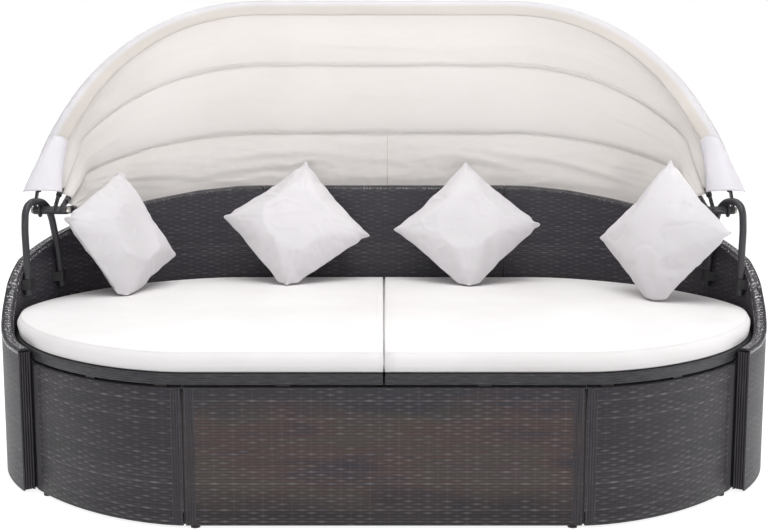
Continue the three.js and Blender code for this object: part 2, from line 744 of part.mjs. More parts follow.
const pillowFull = 128;
const pillowDrawnShare = 0.055; // how far an edge is drawn in, as a share of the side
const pillowGridCount = 12;
const pillowAcrossShares = { left: -0.262, right: 0.248 }; // of half the overall width
const nutFace = boltInner - nutThick;
const pillowPlaces = [
  { label: 'left', side: 312, besideNut: 120.5, behindPivot: 134, up: 150, yaw: 60, lean: 22, roll: -22 },
  { label: 'centre_left', side: 325, beforeBack: 112, up: 160, yaw: 5, lean: 33, roll: -9 },
  { label: 'centre_right', side: 322, beforeBack: 124, up: 158, yaw: -6, lean: 32, roll: 3 },
  { label: 'right', side: 315, besideNut: 93.5, behindPivot: 2, up: 170, yaw: -49, lean: 17, roll: 7 },
];

// The end ones keep clear of the nuts, the middle ones of the backrest
function pillowSpot({ label, besideNut, behindPivot, beforeBack, up }) {
  const z = seatHeight + up;
  if (label === 'left') return [besideNut - nutFace, pivotBack + behindPivot, z];
  if (label === 'right') return [nutFace - besideNut, pivotBack + behindPivot, z];
  const share = pillowAcrossShares[label === 'centre_left' ? 'left' : 'right'];
  return [(overallWidth / 2) * share, wallPlan.back - wallThick - beforeBack, z];
}

function pillow(entry) {
  const { side, yaw, lean, roll } = entry;
  const points = [];
  const faces = [];
  const row = pillowGridCount + 1;
  const edgeShare = 0.62;
  const addFace = (way) => {
    const start = points.length;
    for (let j = 0; j <= pillowGridCount; j += 1) {
      for (let i = 0; i <= pillowGridCount; i += 1) {
        const u = (2 * i) / pillowGridCount - 1;
        const v = (2 * j) / pillowGridCount - 1;
        const x = (side / 2) * u * (1 - 2 * pillowDrawnShare * (1 - v * v));
        const y = (side / 2) * v * (1 - 2 * pillowDrawnShare * (1 - u * u));
        const full = ((1 - u * u) * (1 - v * v)) ** edgeShare;
        points.push(new THREE.Vector3(x, y, (way * pillowFull * full) / 2));
      }
    }
    for (let j = 0; j < pillowGridCount; j += 1) {
      for (let i = 0; i < pillowGridCount; i += 1) {
        const a = start + j * row + i;
        const quad = [a, a + 1, a + row + 1, a, a + row + 1, a + row];
        faces.push(...(way > 0 ? quad : quad.reverse()));
      }
    }
  };
  addFace(1);
  addFace(-1);
  const body = new THREE.BufferGeometry().setFromPoints(points);
  body.setIndex(faces);
  const stand = THREE.MathUtils.degToRad;
  body.rotateZ(stand(45 + roll));
  body.rotateX(stand(90 - lean));
  body.rotateZ(stand(yaw));
  body.translate(...pillowSpot(entry));
  return body;
}

const restClearance = 0.5;
const underSeat = box(overallWidth, overallWidth, seatHeight, 0, 0, seatHeight / 2 - restClearance);
for (const entry of pillowPlaces) {
  const side = entry.label.endsWith('left') ? 'left' : 'right';
  let body = solid(pillow(entry));
  body = body.subtract(solid(cushionSolids[side].clone().translate(0, 0, restClearance)));
  body = body.subtract(solid(underSeat));
  place(`pillow_${entry.label}`, geometryOf(body), coverCloth);
}

// Canopy cloth: bands between neighbouring hoops, hanging in a little between them

const clothStepCount = 28;
const clothAcrossCount = 4;
const clothStart = 150; // the bands begin this far from the pivot
const bandSag = 26;
// From a hoop's middle to the cloth
const clothGap = (hoopTube / 2) * Math.cos(Math.PI / hoopSideCount) + fitGap;

// A point of a hoop's line, with x across and y away from the pivots: way runs from -1 at its left
// end to 1 at its right
function hoopPlace(hoop, way) {
  const cornerShare = 0.62;
  const spread = Math.abs(way);
  const start = Math.asin((clothStart / hoopReach) ** (hoopRoundShare / 2));
  if (spread < 1 - cornerShare) {
    return new THREE.Vector2((hoopFlatHalf * way) / (1 - cornerShare), hoopReach);
  }
  const turn = THREE.MathUtils.lerp(Math.PI / 2, start, (spread - 1 + cornerShare) / cornerShare);
  const radius = hoopReach * Math.sin(turn) ** (2 / hoopRoundShare);
  return new THREE.Vector2(Math.sign(way) * hoopWidth(hoop, radius), radius);
}

// The same, moved outwards in the hoop's plane
function hoopBeside(hoop, way, outwards) {
  const tiny = 0.002; // in shares of the way
  const next = hoopPlace(hoop, Math.min(way + tiny, 1));
  const along = next.sub(hoopPlace(hoop, Math.max(way - tiny, -1))).normalize();
  return hoopPlace(hoop, way).add(new THREE.Vector2(-along.y, along.x).multiplyScalar(outwards));
}

function bandPoint(lower, upper, way, across, inward) {
  const a = hoopPlace(lower, way);
  const b = hoopPlace(upper, way);
  const radius = THREE.MathUtils.lerp(a.y, b.y, across);
  const x = THREE.MathUtils.lerp(a.x, b.x, across);
  const edge = THREE.MathUtils.radToDeg(clothGap / radius);
  const angle = THREE.MathUtils.lerp(lower.angle + edge, upper.angle - edge, across);
  const tilt = THREE.MathUtils.degToRad(angle);
  const full = radius / hoopReach;
  const sag = bandSag * full * 4 * across * (1 - across) + inward;
  const reach = radius - sag;
  const drawn = x * (1 - (sag * (1 - full)) / hoopHalfSpan);
  return new THREE.Vector3(drawn, pivotBack + reach * Math.cos(tilt), pivotHeight + reach * Math.sin(tilt));
}

// A thin closed sheet between two grids of points
function sheet(steps, across, outer, inner) {
  const loops = [];
  for (let step = 0; step <= steps; step += 1) {
    const near = Array.from({ length: across + 1 }, (_, k) => outer(step / steps, k / across));
    const far = Array.from({ length: across + 1 }, (_, k) => inner(step / steps, k / across));
    loops.push([...near, ...far.reverse()]);
  }
  const last = 2 * across + 1;
  const ends = [];
  for (let k = 0; k < across; k += 1) {
    ends.push([k, k + 1, last - k - 1], [k, last - k - 1, last - k]);
  }
  return loft(loops, ends);
}

const bands = { rear: ['rear', 'third'], middle: ['third', 'second'], front: ['second', 'front'] };
for (const [label, [low, high]] of Object.entries(bands)) {
  const surface = (inward) => (way, across) => (
    bandPoint(hoops[low], hoops[high], 2 * way - 1, across, inward));
  const band = sheet(clothStepCount, clothAcrossCount, surface(0), surface(clothThick));
  place(`canopy_cloth_${label}`, band, canvas);
}

// Front hem: a flat strip of cloth on the front hoop's open side

const hemInner = -38;
const hemOuter = 24;

function hemPoint(way, across, lift) {
  const hoop = hoops.front;
  const spot = hoopBeside(hoop, 2 * way - 1, THREE.MathUtils.lerp(hemInner, hemOuter, across));
  const tilt = THREE.MathUtils.degToRad(hoop.angle);
  return new THREE.Vector3(
    spot.x,
    pivotBack + spot.y * Math.cos(tilt) - lift * Math.sin(tilt),
    pivotHeight + spot.y * Math.sin(tilt) + lift * Math.cos(tilt),
  );
}

place('canopy_hem_front', sheet(clothStepCount, 1, (way, across) => hemPoint(way, across, clothGap),
  (way, across) => hemPoint(way, across, clothGap + clothThick)), canvas);

// End flaps: a cloth cuff over the front of each bundle of hoops, open at the back

const flapTop = 235; // distances from the pivot along the front hoop
const flapFoot = 58;
const flapTopHalf = 26;
const flapFootHalf = 54;
const flapDeep = 30;
const flapStepCount = 5;
const flapAroundCount = 10;

function flapPoint(side, along, around, inward) {
  const hoop = hoops.front;
  const tilt = THREE.MathUtils.degToRad(hoop.angle);
  const radius = THREE.MathUtils.lerp(flapTop, flapFoot, along);
  const half = THREE.MathUtils.lerp(flapTopHalf, flapFootHalf, along) - inward;
  const turn = Math.PI * (around - 0.5);
  const centre = hoopWidth(hoop, radius) - flapFootHalf / 3;
  const lift = clothGap + 2 * clothThick + fitGap + (flapDeep - inward) * Math.cos(turn) - inward;
  return new THREE.Vector3(
    side * (centre + half * Math.sin(turn)),
    pivotBack + radius * Math.cos(tilt) - lift * Math.sin(tilt),
    pivotHeight + radius * Math.sin(tilt) + lift * Math.cos(tilt),
  );
}

for (const [label, side] of sides) {
  const surface = (inward) => (along, around) => flapPoint(side, along, around, inward);
  const cuff = sheet(flapStepCount, flapAroundCount, surface(0), surface(clothThick));
  place(`canopy_flap_${label}`, cuff, canvas);
}

// The origin is on the ground, in the middle of the part's own extent
const bounds = new THREE.Box3().setFromObject(model);
const centre = bounds.getCenter(new THREE.Vector3());
model.position.set(-centre.x, -centre.y, -bounds.min.z);
const assembly = new THREE.Group();
assembly.add(model);

export default assembly;
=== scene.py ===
import math
from bisect import bisect
from functools import partial

import bmesh
import bpy
from mathutils import Matrix, Vector, noise


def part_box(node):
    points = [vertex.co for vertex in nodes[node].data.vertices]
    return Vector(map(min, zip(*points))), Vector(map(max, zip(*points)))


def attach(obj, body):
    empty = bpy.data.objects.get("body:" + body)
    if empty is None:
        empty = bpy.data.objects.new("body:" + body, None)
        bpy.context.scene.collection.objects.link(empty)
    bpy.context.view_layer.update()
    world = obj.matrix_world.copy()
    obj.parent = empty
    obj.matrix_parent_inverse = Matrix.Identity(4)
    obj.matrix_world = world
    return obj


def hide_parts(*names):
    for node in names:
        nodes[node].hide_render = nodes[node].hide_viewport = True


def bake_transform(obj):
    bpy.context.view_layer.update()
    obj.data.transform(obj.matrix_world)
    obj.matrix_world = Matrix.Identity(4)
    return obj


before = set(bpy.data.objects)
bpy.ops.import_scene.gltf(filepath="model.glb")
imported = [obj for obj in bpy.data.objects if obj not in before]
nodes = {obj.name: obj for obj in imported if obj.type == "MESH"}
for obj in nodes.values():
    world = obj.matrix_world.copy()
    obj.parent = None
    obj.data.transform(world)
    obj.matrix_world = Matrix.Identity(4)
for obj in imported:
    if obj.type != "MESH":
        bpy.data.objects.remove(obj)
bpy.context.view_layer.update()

# The seat's own middle is y 0 in all plans below; shift brings a plan into the frame
boltLow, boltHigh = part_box("pivot_bolt_left")
pivot = Vector((0, (boltLow[1] + boltHigh[1]) / 2, (boltLow[2] + boltHigh[2]) / 2))
pivotBack = 0.128
shift = pivot.y - pivotBack
sides = (("left", -1), ("right", 1))


# Materials

# A linear colour from an sRGB hex code.
def linear(hexColor):
    parts = [int(hexColor[k:k + 2], 16) / 255 for k in (1, 3, 5)]
    return [c / 12.92 if c <= 0.04045 else ((c + 0.055) / 1.055) ** 2.4 for c in parts] + [1]


# Adds a node to a material or the world and gives one of its outputs. A kind in capitals is an operation
# of the Math node. Inputs come in the order of the sockets or as {socket: value}, and a value may be
# another node's output. Stops are a ramp's places with a colour or a grey.
def addNode(owner, kind, *inputs, out=0, stops=(), **settings):
    tree = owner.node_tree
    if kind.isupper():
        kind, settings["operation"] = "Math", kind
    made = tree.nodes.new("ShaderNode" + kind)
    for label, value in settings.items():
        setattr(made, label, value)
    given = inputs[0].items() if inputs and isinstance(inputs[0], dict) else enumerate(inputs)
    for socket, value in given:
        if isinstance(value, bpy.types.NodeSocket):
            tree.links.new(value, made.inputs[socket])
        else:
            made.inputs[socket].default_value = value
    while stops and len(made.color_ramp.elements) < len(stops):
        made.color_ramp.elements.new(0.5)
    for k, (place, color) in enumerate(stops):
        made.color_ramp.elements[k].position = place
        made.color_ramp.elements[k].color = linear(color) if isinstance(color, str) else [color] * 3 + [1]
    return made.outputs[out]


# Links outputs to a node's sockets, which are named with _ for a space.
def link(node, **outputs):
    for label, output in outputs.items():
        node.id_data.links.new(output, node.inputs[label.replace("_", " ")])


# A material, its shader and a short form of addNode for it.
def newMaterial(name, color, roughness, **settings):
    material = bpy.data.materials.new(name)
    material.use_nodes = True
    shader = material.node_tree.nodes["Principled BSDF"]
    shader.inputs["Base Color"].default_value = linear(color)
    shader.inputs["Roughness"].default_value = roughness
    for label, value in settings.items():
        shader.inputs[label.replace("_", " ")].default_value = value
    return material, shader, partial(addNode, material)


# Noise in a space that is stretched along x, y and z.
def cloudy(add, vector, scales, detail=2, roughness=0.5):
    space = add("Mapping", {"Vector": vector, "Scale": scales})
    return add("TexNoise", {"Vector": space, "Scale": 1, "Detail": detail, "Roughness": roughness})


# A Mix node that mixes colours: its factor is socket 0, its two colours are 6 and 7
mix = {"data_type": "RGBA", "out": 2}


# The UV map, and how far along and up it a point lies.
def readUv(add):
    uv = add("UVMap", uv_map="UVMap")
    return uv, add("SeparateXYZ", uv, out=0), add("SeparateXYZ", uv, out=1)


# How high a rounded strand stands: 0 at its two edges, 1 in its middle.
def crownOf(add, rows, power):
    place = add("ABSOLUTE", add("MULTIPLY_ADD", add("FRACT", rows), 2, -1))
    return add("SUBTRACT", 1, add("POWER", place, power))


# The colour times a ramp of greys over a value: painted shade in the wicker's gaps, and the cloth's faint
# slub tone.
def shadeOrSlubTone(add, color, value, stops, share=1):
    greys = add("ValToRGB", value, stops=stops)
    return add("Mix", {0: share, 6: color, 7: greys}, blend_type="MULTIPLY", **mix)


# Woven flat strands of extruded plastic: long strands pass over and under upright stakes. UV is in
# metres, along the panel and up it.
weave = {"strand": 0.0068, "stake": 0.0218, "stakeWidth": 0.006, "relief": 0.0009, "wobble": 0.0018,
         "glint": "#9a9499", "rib": "#9d979b"}


# tones: four dyes in patches; foot and head: the tints near a panel's foot and its top edge;
# gleam: how strongly the painted highlights on the strands show; depth: how far a strand dives under a stake;
# ribs: how strongly the painted highlights on the stakes show; high: the panel's height
def weaveMaterial(name, tones, foot, head, gleam, depth, ribs, high=0.33, gloss=0.3):
    material, shader, add = newMaterial(name, tones[1], 0.42, Specular_IOR_Level=gloss)
    uv, along, up = readUv(add)
    rise = add("MULTIPLY_ADD", cloudy(add, uv, (9, 22, 1), 1), weave["wobble"], up)
    rows = add("DIVIDE", rise, weave["strand"])
    row = add("FLOOR", rows)
    crown = crownOf(add, rows, 4)
    # over and under the stakes, the next strand the other way round
    cycles = add("MULTIPLY_ADD", row, 0.5, add("DIVIDE", along, 2 * weave["stake"]))
    over = add("MULTIPLY_ADD", add("COSINE", add("MULTIPLY", cycles, 2 * math.pi)), 0.5, 0.5)
    strand = add("MULTIPLY", crown, add("MULTIPLY_ADD", over, depth, 1 - depth))
    # a stake shows where the strand passes behind it
    phase = add("FRACT", add("ADD", add("DIVIDE", along, weave["stake"]), 0.5))
    offset = add("ABSOLUTE", add("SUBTRACT", phase, 0.5))
    halfStake = weave["stakeWidth"] / weave["stake"] / 2
    stake = add("SUBTRACT", 1, add("DIVIDE", offset, halfStake), use_clamp=True)
    body = add("MAXIMUM", strand, add("MULTIPLY", add("POWER", stake, 0.5), 0.7))
    height = add("MULTIPLY_ADD", cloudy(add, uv, (260, 2600, 1)), 0.1, body)
    # each strand is dyed a little differently, in long patches
    seed = add("TexWhiteNoise", {"W": row}, noise_dimensions="1D")
    spot = add("CombineXYZ", add("MULTIPLY", along, 5), add("MULTIPLY", row, 0.9), seed)
    streak = add("TexNoise", {"Vector": spot, "Scale": 1, "Detail": 3, "Roughness": 0.6})
    broad = cloudy(add, uv, (3.1, 11, 1))
    tone = add("MULTIPLY_ADD", streak, 0.35, add("MULTIPLY", broad, 0.65))
    color = add("ValToRGB", tone, stops=list(zip((0.36, 0.47, 0.54, 0.64), tones)))
    level = add("MULTIPLY_ADD", add("SUBTRACT", broad, 0.5), 0.5, add("DIVIDE", up, high))
    for tint, stops in ((foot, [(0.08, 0.85), (0.34, 0)]), (head, [(0.74, 0), (0.93, 0.85)])):
        color = add("Mix", {0: add("ValToRGB", level, stops=stops), 6: color, 7: linear(tint)}, **mix)
    # painted shade: the strands darken where they sink, at the rows' edges and under the stakes
    color = shadeOrSlubTone(add, color, height, [(0.05, 0.42), (0.5, 0.88), (1, 1)])
    # painted highlights: single passes lie flatter and catch the light, and so do a few whole strands
    passing = add("CombineXYZ", add("FLOOR", add("ADD", cycles, 0.5)), row)
    chance = add("TexWhiteNoise", {"Vector": passing}, noise_dimensions="2D")
    single = add("MULTIPLY", add("POWER", chance, 1.6), add("POWER", over, 2.5))
    whole = add("MULTIPLY", add("POWER", seed, 5), add("MULTIPLY_ADD", over, 0.6, 0.4))
    lit = add("MULTIPLY", add("ADD", single, whole), gleam)
    glint = add("MULTIPLY", lit, add("POWER", crown, 3), use_clamp=True)
    color = add("Mix", {0: glint, 6: color, 7: linear(weave["glint"])}, **mix)
    # the stakes press through, with painted highlights on them as faint upright lines, in patches
    ribHighlightPatches = add("ValToRGB", cloudy(add, uv, (30, 12, 1)), stops=[(0.4, 0.1 * ribs), (0.62, ribs)])
    line = add("MULTIPLY", add("POWER", stake, 1.5), ribHighlightPatches)
    color = add("Mix", {0: line, 6: color, 7: linear(weave["rib"])}, **mix)
    link(shader, Base_Color=color, Roughness=add("MULTIPLY_ADD", streak, 0.2, 0.32),
         Normal=add("Bump", {"Height": height, "Distance": weave["relief"]}))
    return material


frontWeave = weaveMaterial("wickerFront", ["#38343c", "#4c3d3b", "#47413c", "#4b3e41"],
                           "#262327", "#302f36", gleam=0.19, depth=0.32, ribs=0.045)
sideWeave = weaveMaterial("wickerSide", ["#2d2b2f", "#333034", "#373337", "#3c373b"],
                          "#29262a", "#343137", gleam=0.24, depth=0.55, ribs=0.03)
backWeave = weaveMaterial("wickerBack", ["#333137", "#38363c", "#3c393d", "#403b3f"],
                          "#302e34", "#37353c", gleam=0.13, depth=0.6, ribs=0.015, high=0.68, gloss=0.22)

rim = {"strand": 0.0055, "wander": 0.002, "relief": 0.0007}


# the deck's rim: the strands run along it, packed side by side, with paler streaks here and there and painted
# shade between the strands
def rimMaterial():
    material, shader, add = newMaterial("wickerRim", "#302f32", 0.4, Specular_IOR_Level=0.35)
    uv, _, up = readUv(add)
    rise = add("MULTIPLY_ADD", cloudy(add, uv, (12, 12, 1), 1), rim["wander"], up)
    crown = crownOf(add, add("DIVIDE", rise, rim["strand"]), 2)
    streak = cloudy(add, uv, (30, 300, 1), 3, 0.6)
    color = add("ValToRGB", streak,
                stops=[(0.32, "#29282b"), (0.5, "#39393d"), (0.66, "#46454a"), (0.78, "#77767a")])
    # painted shade: darker at each strand's edges, between the strands
    link(shader, Base_Color=shadeOrSlubTone(add, color, crown, [(0, 0.55), (0.6, 1)]),
         Normal=add("Bump", {"Height": add("ADD", crown, streak), "Distance": rim["relief"]}))
    return material


rimWeave = rimMaterial()

# The binding strand wound round the panel edges, one turn beside the other, glossy on its crest, with painted
# shade between the turns and painted silver highlights on some crests
wrap = {"pitch": 0.0085, "slant": 0.22, "relief": 0.002, "spark": "#c4c1c5"}


def wrapMaterial():
    material, shader, add = newMaterial("wickerBinding", "#3c393c", 0.26, Specular_IOR_Level=0.55,
                                        Coat_Weight=0.4, Coat_Roughness=0.15)
    uv, along, over = readUv(add)
    turns = add("DIVIDE", add("MULTIPLY_ADD", over, wrap["slant"], along), wrap["pitch"])
    crown = crownOf(add, turns, 3)
    seed = add("TexWhiteNoise", {"W": add("FLOOR", turns)}, noise_dimensions="1D")
    color = add("ValToRGB", seed, stops=[(0, "#242226"), (0.5, "#333034"), (1, "#4a464a")])
    # painted shade between the turns, darker at each turn's edges
    color = shadeOrSlubTone(add, color, crown, [(0, 0.2), (0.6, 0.9), (1, 1)])
    # painted highlights: the crests on the arms shine silver here and there; UV starts at the arm's front
    patch = add("ValToRGB", cloudy(add, uv, (160, 220, 1), 2, 0.6), stops=[(0.49, 0), (0.60, 0.9)])
    sparkReach = add("ValToRGB", add("MULTIPLY", along, 0.5), stops=[(0.28, 1), (0.40, 0.06)])
    spark = add("MULTIPLY", patch, add("MULTIPLY", sparkReach, add("POWER", crown, 2)))
    color = add("Mix", {0: spark, 6: color, 7: linear(wrap["spark"])}, **mix)
    height = add("MULTIPLY_ADD", seed, 0.35, crown)
    link(shader, Base_Color=color, Normal=add("Bump", {"Height": height, "Distance": wrap["relief"]}))
    return material


binding = wrapMaterial()


# One noise gives the colour and another the relief; each is (scales, detail, roughness).
def plainMaterial(name, color, roughness, cloud, stops, grain, relief, strength=1, **settings):
    material, shader, add = newMaterial(name, color, roughness, **settings)
    place = add("TexCoord", out="Object")
    bump = {"Height": cloudy(add, place, *grain), "Distance": relief, "Strength": strength}
    tint = add("ValToRGB", cloudy(add, place, *cloud), stops=stops)
    link(shader, Base_Color=tint, Normal=add("Bump", bump))
    return material


# upright edge strands, drawn tight: smooth plastic with faint long streaks
streaks = ((300, 300, 14), 3, 0.6)
edgeStrand = plainMaterial("edgeStrand", "#343237", 0.36, streaks,
                           [(0.3, "#29272b"), (0.55, "#37343a"), (0.75, "#4a474c")], streaks, 0.0006,
                           Specular_IOR_Level=0.35)
# powder-coated steel: a fine orange peel; the inner frames get a darker copy, painted shade for the hollows
# they sit in
powder, shadowedSteel = (plainMaterial(name, dark, 0.38, [(9, 9, 9)], [(0.35, dark), (0.7, pale)],
                                    [(900, 900, 900)], 0.0002, 0.6, Specular_IOR_Level=0.45)
                      for name, dark, pale in (("powderCoat", "#2c2a2e", "#37353a"),
                                               ("shadowedFrameSteel", "#151416", "#1f1e20")))
# zinc-plated fasteners with faint turning marks
zinc = plainMaterial("zincPlate", "#a9a7a4", 0.3, [(60, 60, 60)], [(0.35, "#8d8a86"), (0.7, "#c2bfba")],
                     [(2500, 300, 300)], 0.0001, 0.5, Metallic=1)
# moulded black nylon, faintly grained
nylon = plainMaterial("nylon", "#1c1c1e", 0.5, [(40, 40, 40)], [(0.3, "#161618"), (0.7, "#242426")],
                      [(1400, 1400, 1400)], 0.0002, 0.7)


# Plain-woven cloth with a thread pitch in metres, faint slubs and soft creases. glow: how much light
# comes through from behind; edges: painted shade and a painted sky reflection across a strip, as the tones
# at its two edges and its width.
def clothMaterial(name, pale, dim, thread, sheen, glow=0, creases=0, edges=None):
    material, shader, add = newMaterial(name, pale, 0.88, Specular_IOR_Level=0.2, Sheen_Weight=sheen,
                                        Sheen_Roughness=0.5)
    uv, along, up = readUv(add)
    warp, weft = (add("SINE", add("MULTIPLY", way, 2 * math.pi / thread)) for way in (along, up))
    slub = cloudy(add, uv, (500, 40, 1))
    cloud = cloudy(add, add("TexCoord", out="Object"), (3.5, 3.5, 3.5), 3)
    color = add("ValToRGB", cloud, stops=[(0.3, dim), (0.65, pale)])
    color = shadeOrSlubTone(add, color, slub, [(0.3, 0.75), (0.7, 1)], 0.05)
    # painted shade on a strip's inner half and a painted cool sky reflection on its outer half
    if edges:
        inner, outer, width = edges
        tint = add("ValToRGB", add("DIVIDE", up, width),
                   stops=[(0, inner), (0.42, inner), (0.62, outer), (1, outer)])
        color = add("Mix", {0: 0.8, 6: color, 7: tint}, **mix)
    threads = add("MULTIPLY_ADD", slub, 0.8, add("MULTIPLY", warp, weft))
    normal = add("Bump", {"Height": threads, "Distance": thread / 6, "Strength": 0.5})
    if creases:
        folds = cloudy(add, uv, (5, 16, 1), 4, 0.55)
        normal = add("Bump", {"Height": folds, "Distance": creases, "Strength": 0.8, "Normal": normal})
    link(shader, Base_Color=color, Normal=normal)
    if glow:
        through = add("BsdfTranslucent", linear(pale))
        both = add("MixShader", glow, shader.outputs[0], through)
        link(material.node_tree.nodes["Material Output"], Surface=both)
    return material


coverCloth = clothMaterial("coverCloth", "#f6f4f4", "#efecec", 0.0011, 0.1, creases=0.003)
pillowCloth = clothMaterial("pillowCloth", "#dbd8db", "#d2cfd2", 0.0011, 0.1, creases=0.003)
canopyCloth = clothMaterial("canopyCloth", "#f8f5f3", "#f2efec", 0.0009, 0.05, glow=0.36, creases=0.005)
# doubled cloth round the hoops, which lets less light through
sleeveCloth = clothMaterial("sleeveCloth", "#f6f2ee", "#f0ebe7", 0.0009, 0.05, glow=0.2, creases=0.003)
# the hem's edge tones are painted shade inside and a painted sky reflection outside
hemCloth = clothMaterial("hemCloth", "#e6e0d9", "#ddd7d0", 0.0009, 0.05, creases=0.002,
                         edges=("#b6b0ab", "#c5c4ca", 0.062))
flapCloth = clothMaterial("flapCloth", "#d5d2d8", "#cdcad0", 0.0009, 0.08, creases=0.003)
seamThread = clothMaterial("seamThread", "#e2dbd2", "#d6cfc6", 0.0009, 0, glow=0.3)

print("stage: materials")


# Plans

halfWidth = 1.0
flatHalf = 0.449
baseHalfDepth = 0.576
wallProud = 0.018
wallThick = 0.030
wallSide = halfWidth - flatHalf
wallPlan = {"flat": flatHalf, "side": wallSide, "front": baseHalfDepth + wallProud,
            "back": baseHalfDepth + wallProud, "power": 1.75}
basePlan = {"flat": flatHalf, "side": wallSide - wallProud, "front": baseHalfDepth, "back": baseHalfDepth,
            "power": 1.64}
seatPlan = {"flat": flatHalf, "side": wallSide - wallThick - 0.005, "front": baseHalfDepth - 0.005,
            "back": baseHalfDepth + wallProud - wallThick - 0.004, "power": 1.7}


# x, y and the outward normal on the right half of a plan, 0 at the front and 180 at the back.
def planPoint(plan, degrees):
    turn = math.radians(degrees)
    facing = -1 if math.cos(turn) > 0 else 1
    reach = plan["front"] if facing < 0 else plan["back"]
    wide = abs(math.sin(turn)) ** (2 / plan["power"])
    deep = abs(math.cos(turn)) ** (2 / plan["power"])
    normal = Vector((wide ** (plan["power"] - 1) / plan["side"],
                     facing * deep ** (plan["power"] - 1) / reach)).normalized()
    return Vector((plan["flat"] + plan["side"] * wide, facing * reach * deep)), normal, degrees


def straightPoint(plan, x, facing):
    reach = plan["front"] if facing < 0 else plan["back"]
    return Vector((x, facing * reach)), Vector((0, facing)), 0 if facing < 0 else 181


def mirrored(stations):
    return [(Vector((-p.x, p.y)), Vector((-n.x, n.y)), degrees) for p, n, degrees in stations]


# The way along a closed outline to each of its points and back to the first.
def lengthsRound(outline):
    lengths = [0.0]
    for p, q in zip(outline, outline[1:] + outline[:1]):
        lengths.append(lengths[-1] + (q - p).length)
    return lengths


# Stations along a plan, read by length.
class Rail:

    def __init__(self, stations):
        self.stations = stations
        self.lengths = lengthsRound([p for p, _, _ in stations])[:-1]
        self.length = self.lengths[-1]

    def at(self, distance):
        distance = min(max(distance, 0), self.length)
        k = min(bisect(self.lengths, distance), len(self.lengths) - 1) - 1
        way = (distance - self.lengths[k]) / (self.lengths[k + 1] - self.lengths[k])
        (p, n, a), (q, m, b) = self.stations[k:k + 2]
        return p.lerp(q, way), n.lerp(m, way).normalized(), a + (b - a) * way

    def spot(self, distance, inset, z):
        p, n, _ = self.at(distance)
        return Vector((p.x - n.x * inset, p.y - n.y * inset + shift, z))


def roundRail(plan, start, end, count):
    return [planPoint(plan, start + (end - start) * k / count) for k in range(count + 1)]


# Making pieces

def addObject(name, data):
    made = bpy.data.objects.new(name, data)
    bpy.context.scene.collection.objects.link(made)
    return made


def finishMesh(name, work, material, sharpAngle=40):
    mesh = bpy.data.meshes.new(name)
    for face in work.faces:
        face.smooth = True
    work.to_mesh(mesh)
    work.free()
    if sharpAngle:
        mesh.set_sharp_from_angle(angle=math.radians(sharpAngle))
    mesh.materials.append(material)
    return addObject(name, mesh)


# A piece's mesh with its modifiers worked in.
def workedMesh(piece):
    graph = bpy.context.evaluated_depsgraph_get()
    return bpy.data.meshes.new_from_object(piece.evaluated_get(graph))


# A grid of faces whose corners go to place(a, b) -> (position, uv), with a and b from 0 to 1.
def gridPiece(name, columns, rows, place, material, closed=False, sharpAngle=40, ends=False):
    work = bmesh.new()
    uv = work.loops.layers.uv.new("UVMap")
    bmesh.ops.create_grid(work, x_segments=columns, y_segments=rows, size=0.5)
    found = {vert: place(vert.co.x + 0.5, vert.co.y + 0.5) for vert in work.verts}
    for face in work.faces:
        for loop in face.loops:
            loop[uv].uv = found[loop.vert][1]
    for vert, (spot, _) in found.items():
        vert.co = spot
    if closed:
        bmesh.ops.remove_doubles(work, verts=work.verts, dist=1e-5)
    if ends:
        before = set(work.faces)
        bmesh.ops.holes_fill(work, edges=work.edges, sides=0)
        for face in set(work.faces) - before:
            for loop in face.loops:
                loop[uv].uv = (loop.vert.co.x + loop.vert.co.y, loop.vert.co.z)
    bmesh.ops.recalc_face_normals(work, faces=work.faces)
    return finishMesh(name, work, material, sharpAngle)


# A closed section of (inset, z) pairs swept along a rail.
def sweptPanel(name, rail, section, material, columns):
    count = len(section(rail.at(0)[2]))

    def place(a, b):
        distance = rail.length * a
        k = round(b * count)
        inset, z = section(rail.at(distance)[2])[k % count]
        return rail.spot(distance, inset, z), (distance, z + (inset if k < count else 0))

    return gridPiece(name, columns, count, place, material, closed=True, ends=True)


# A round bar along points, made with a curve's bevel and turned into a mesh.
def tube(name, points, radius, material, resolution=3):
    curve = bpy.data.curves.new(name, "CURVE")
    curve.dimensions = "3D"
    curve.bevel_depth = radius
    curve.bevel_resolution = 5
    curve.use_fill_caps = True
    curve.resolution_u = resolution
    spline = curve.splines.new("BEZIER")
    spline.bezier_points.add(len(points) - 1)
    for point, place in zip(spline.bezier_points, points):
        point.co = place
        point.handle_left_type = point.handle_right_type = "AUTO"
    holder = addObject(name + "Curve", curve)
    bpy.context.view_layer.update()
    mesh = workedMesh(holder)
    bpy.data.objects.remove(holder)
    mesh.name = name
    mesh.materials.clear()
    mesh.materials.append(material)
    mesh.polygons.foreach_set("use_smooth", [True] * len(mesh.polygons))
    mesh.set_sharp_from_angle(angle=math.radians(50))
    return addObject(name, mesh)


# Several mesh pieces as one object.
def joined(name, pieces):
    for piece in bpy.context.selected_objects:
        piece.select_set(False)
    for piece in pieces:
        piece.select_set(True)
    bpy.context.view_layer.objects.active = pieces[0]
    bpy.ops.object.join()
    pieces[0].name = pieces[0].data.name = name
    return pieces[0]


# A box round 0 with softened edges, as a bmesh.
def softBox(size, edge):
    work = bmesh.new()
    bmesh.ops.create_cube(work, size=1)
    bmesh.ops.scale(work, verts=work.verts, vec=size)
    bmesh.ops.bevel(work, geom=work.edges[:], offset=edge, affect="EDGES", segments=2, profile=0.5,
                    material=-1)
    return work


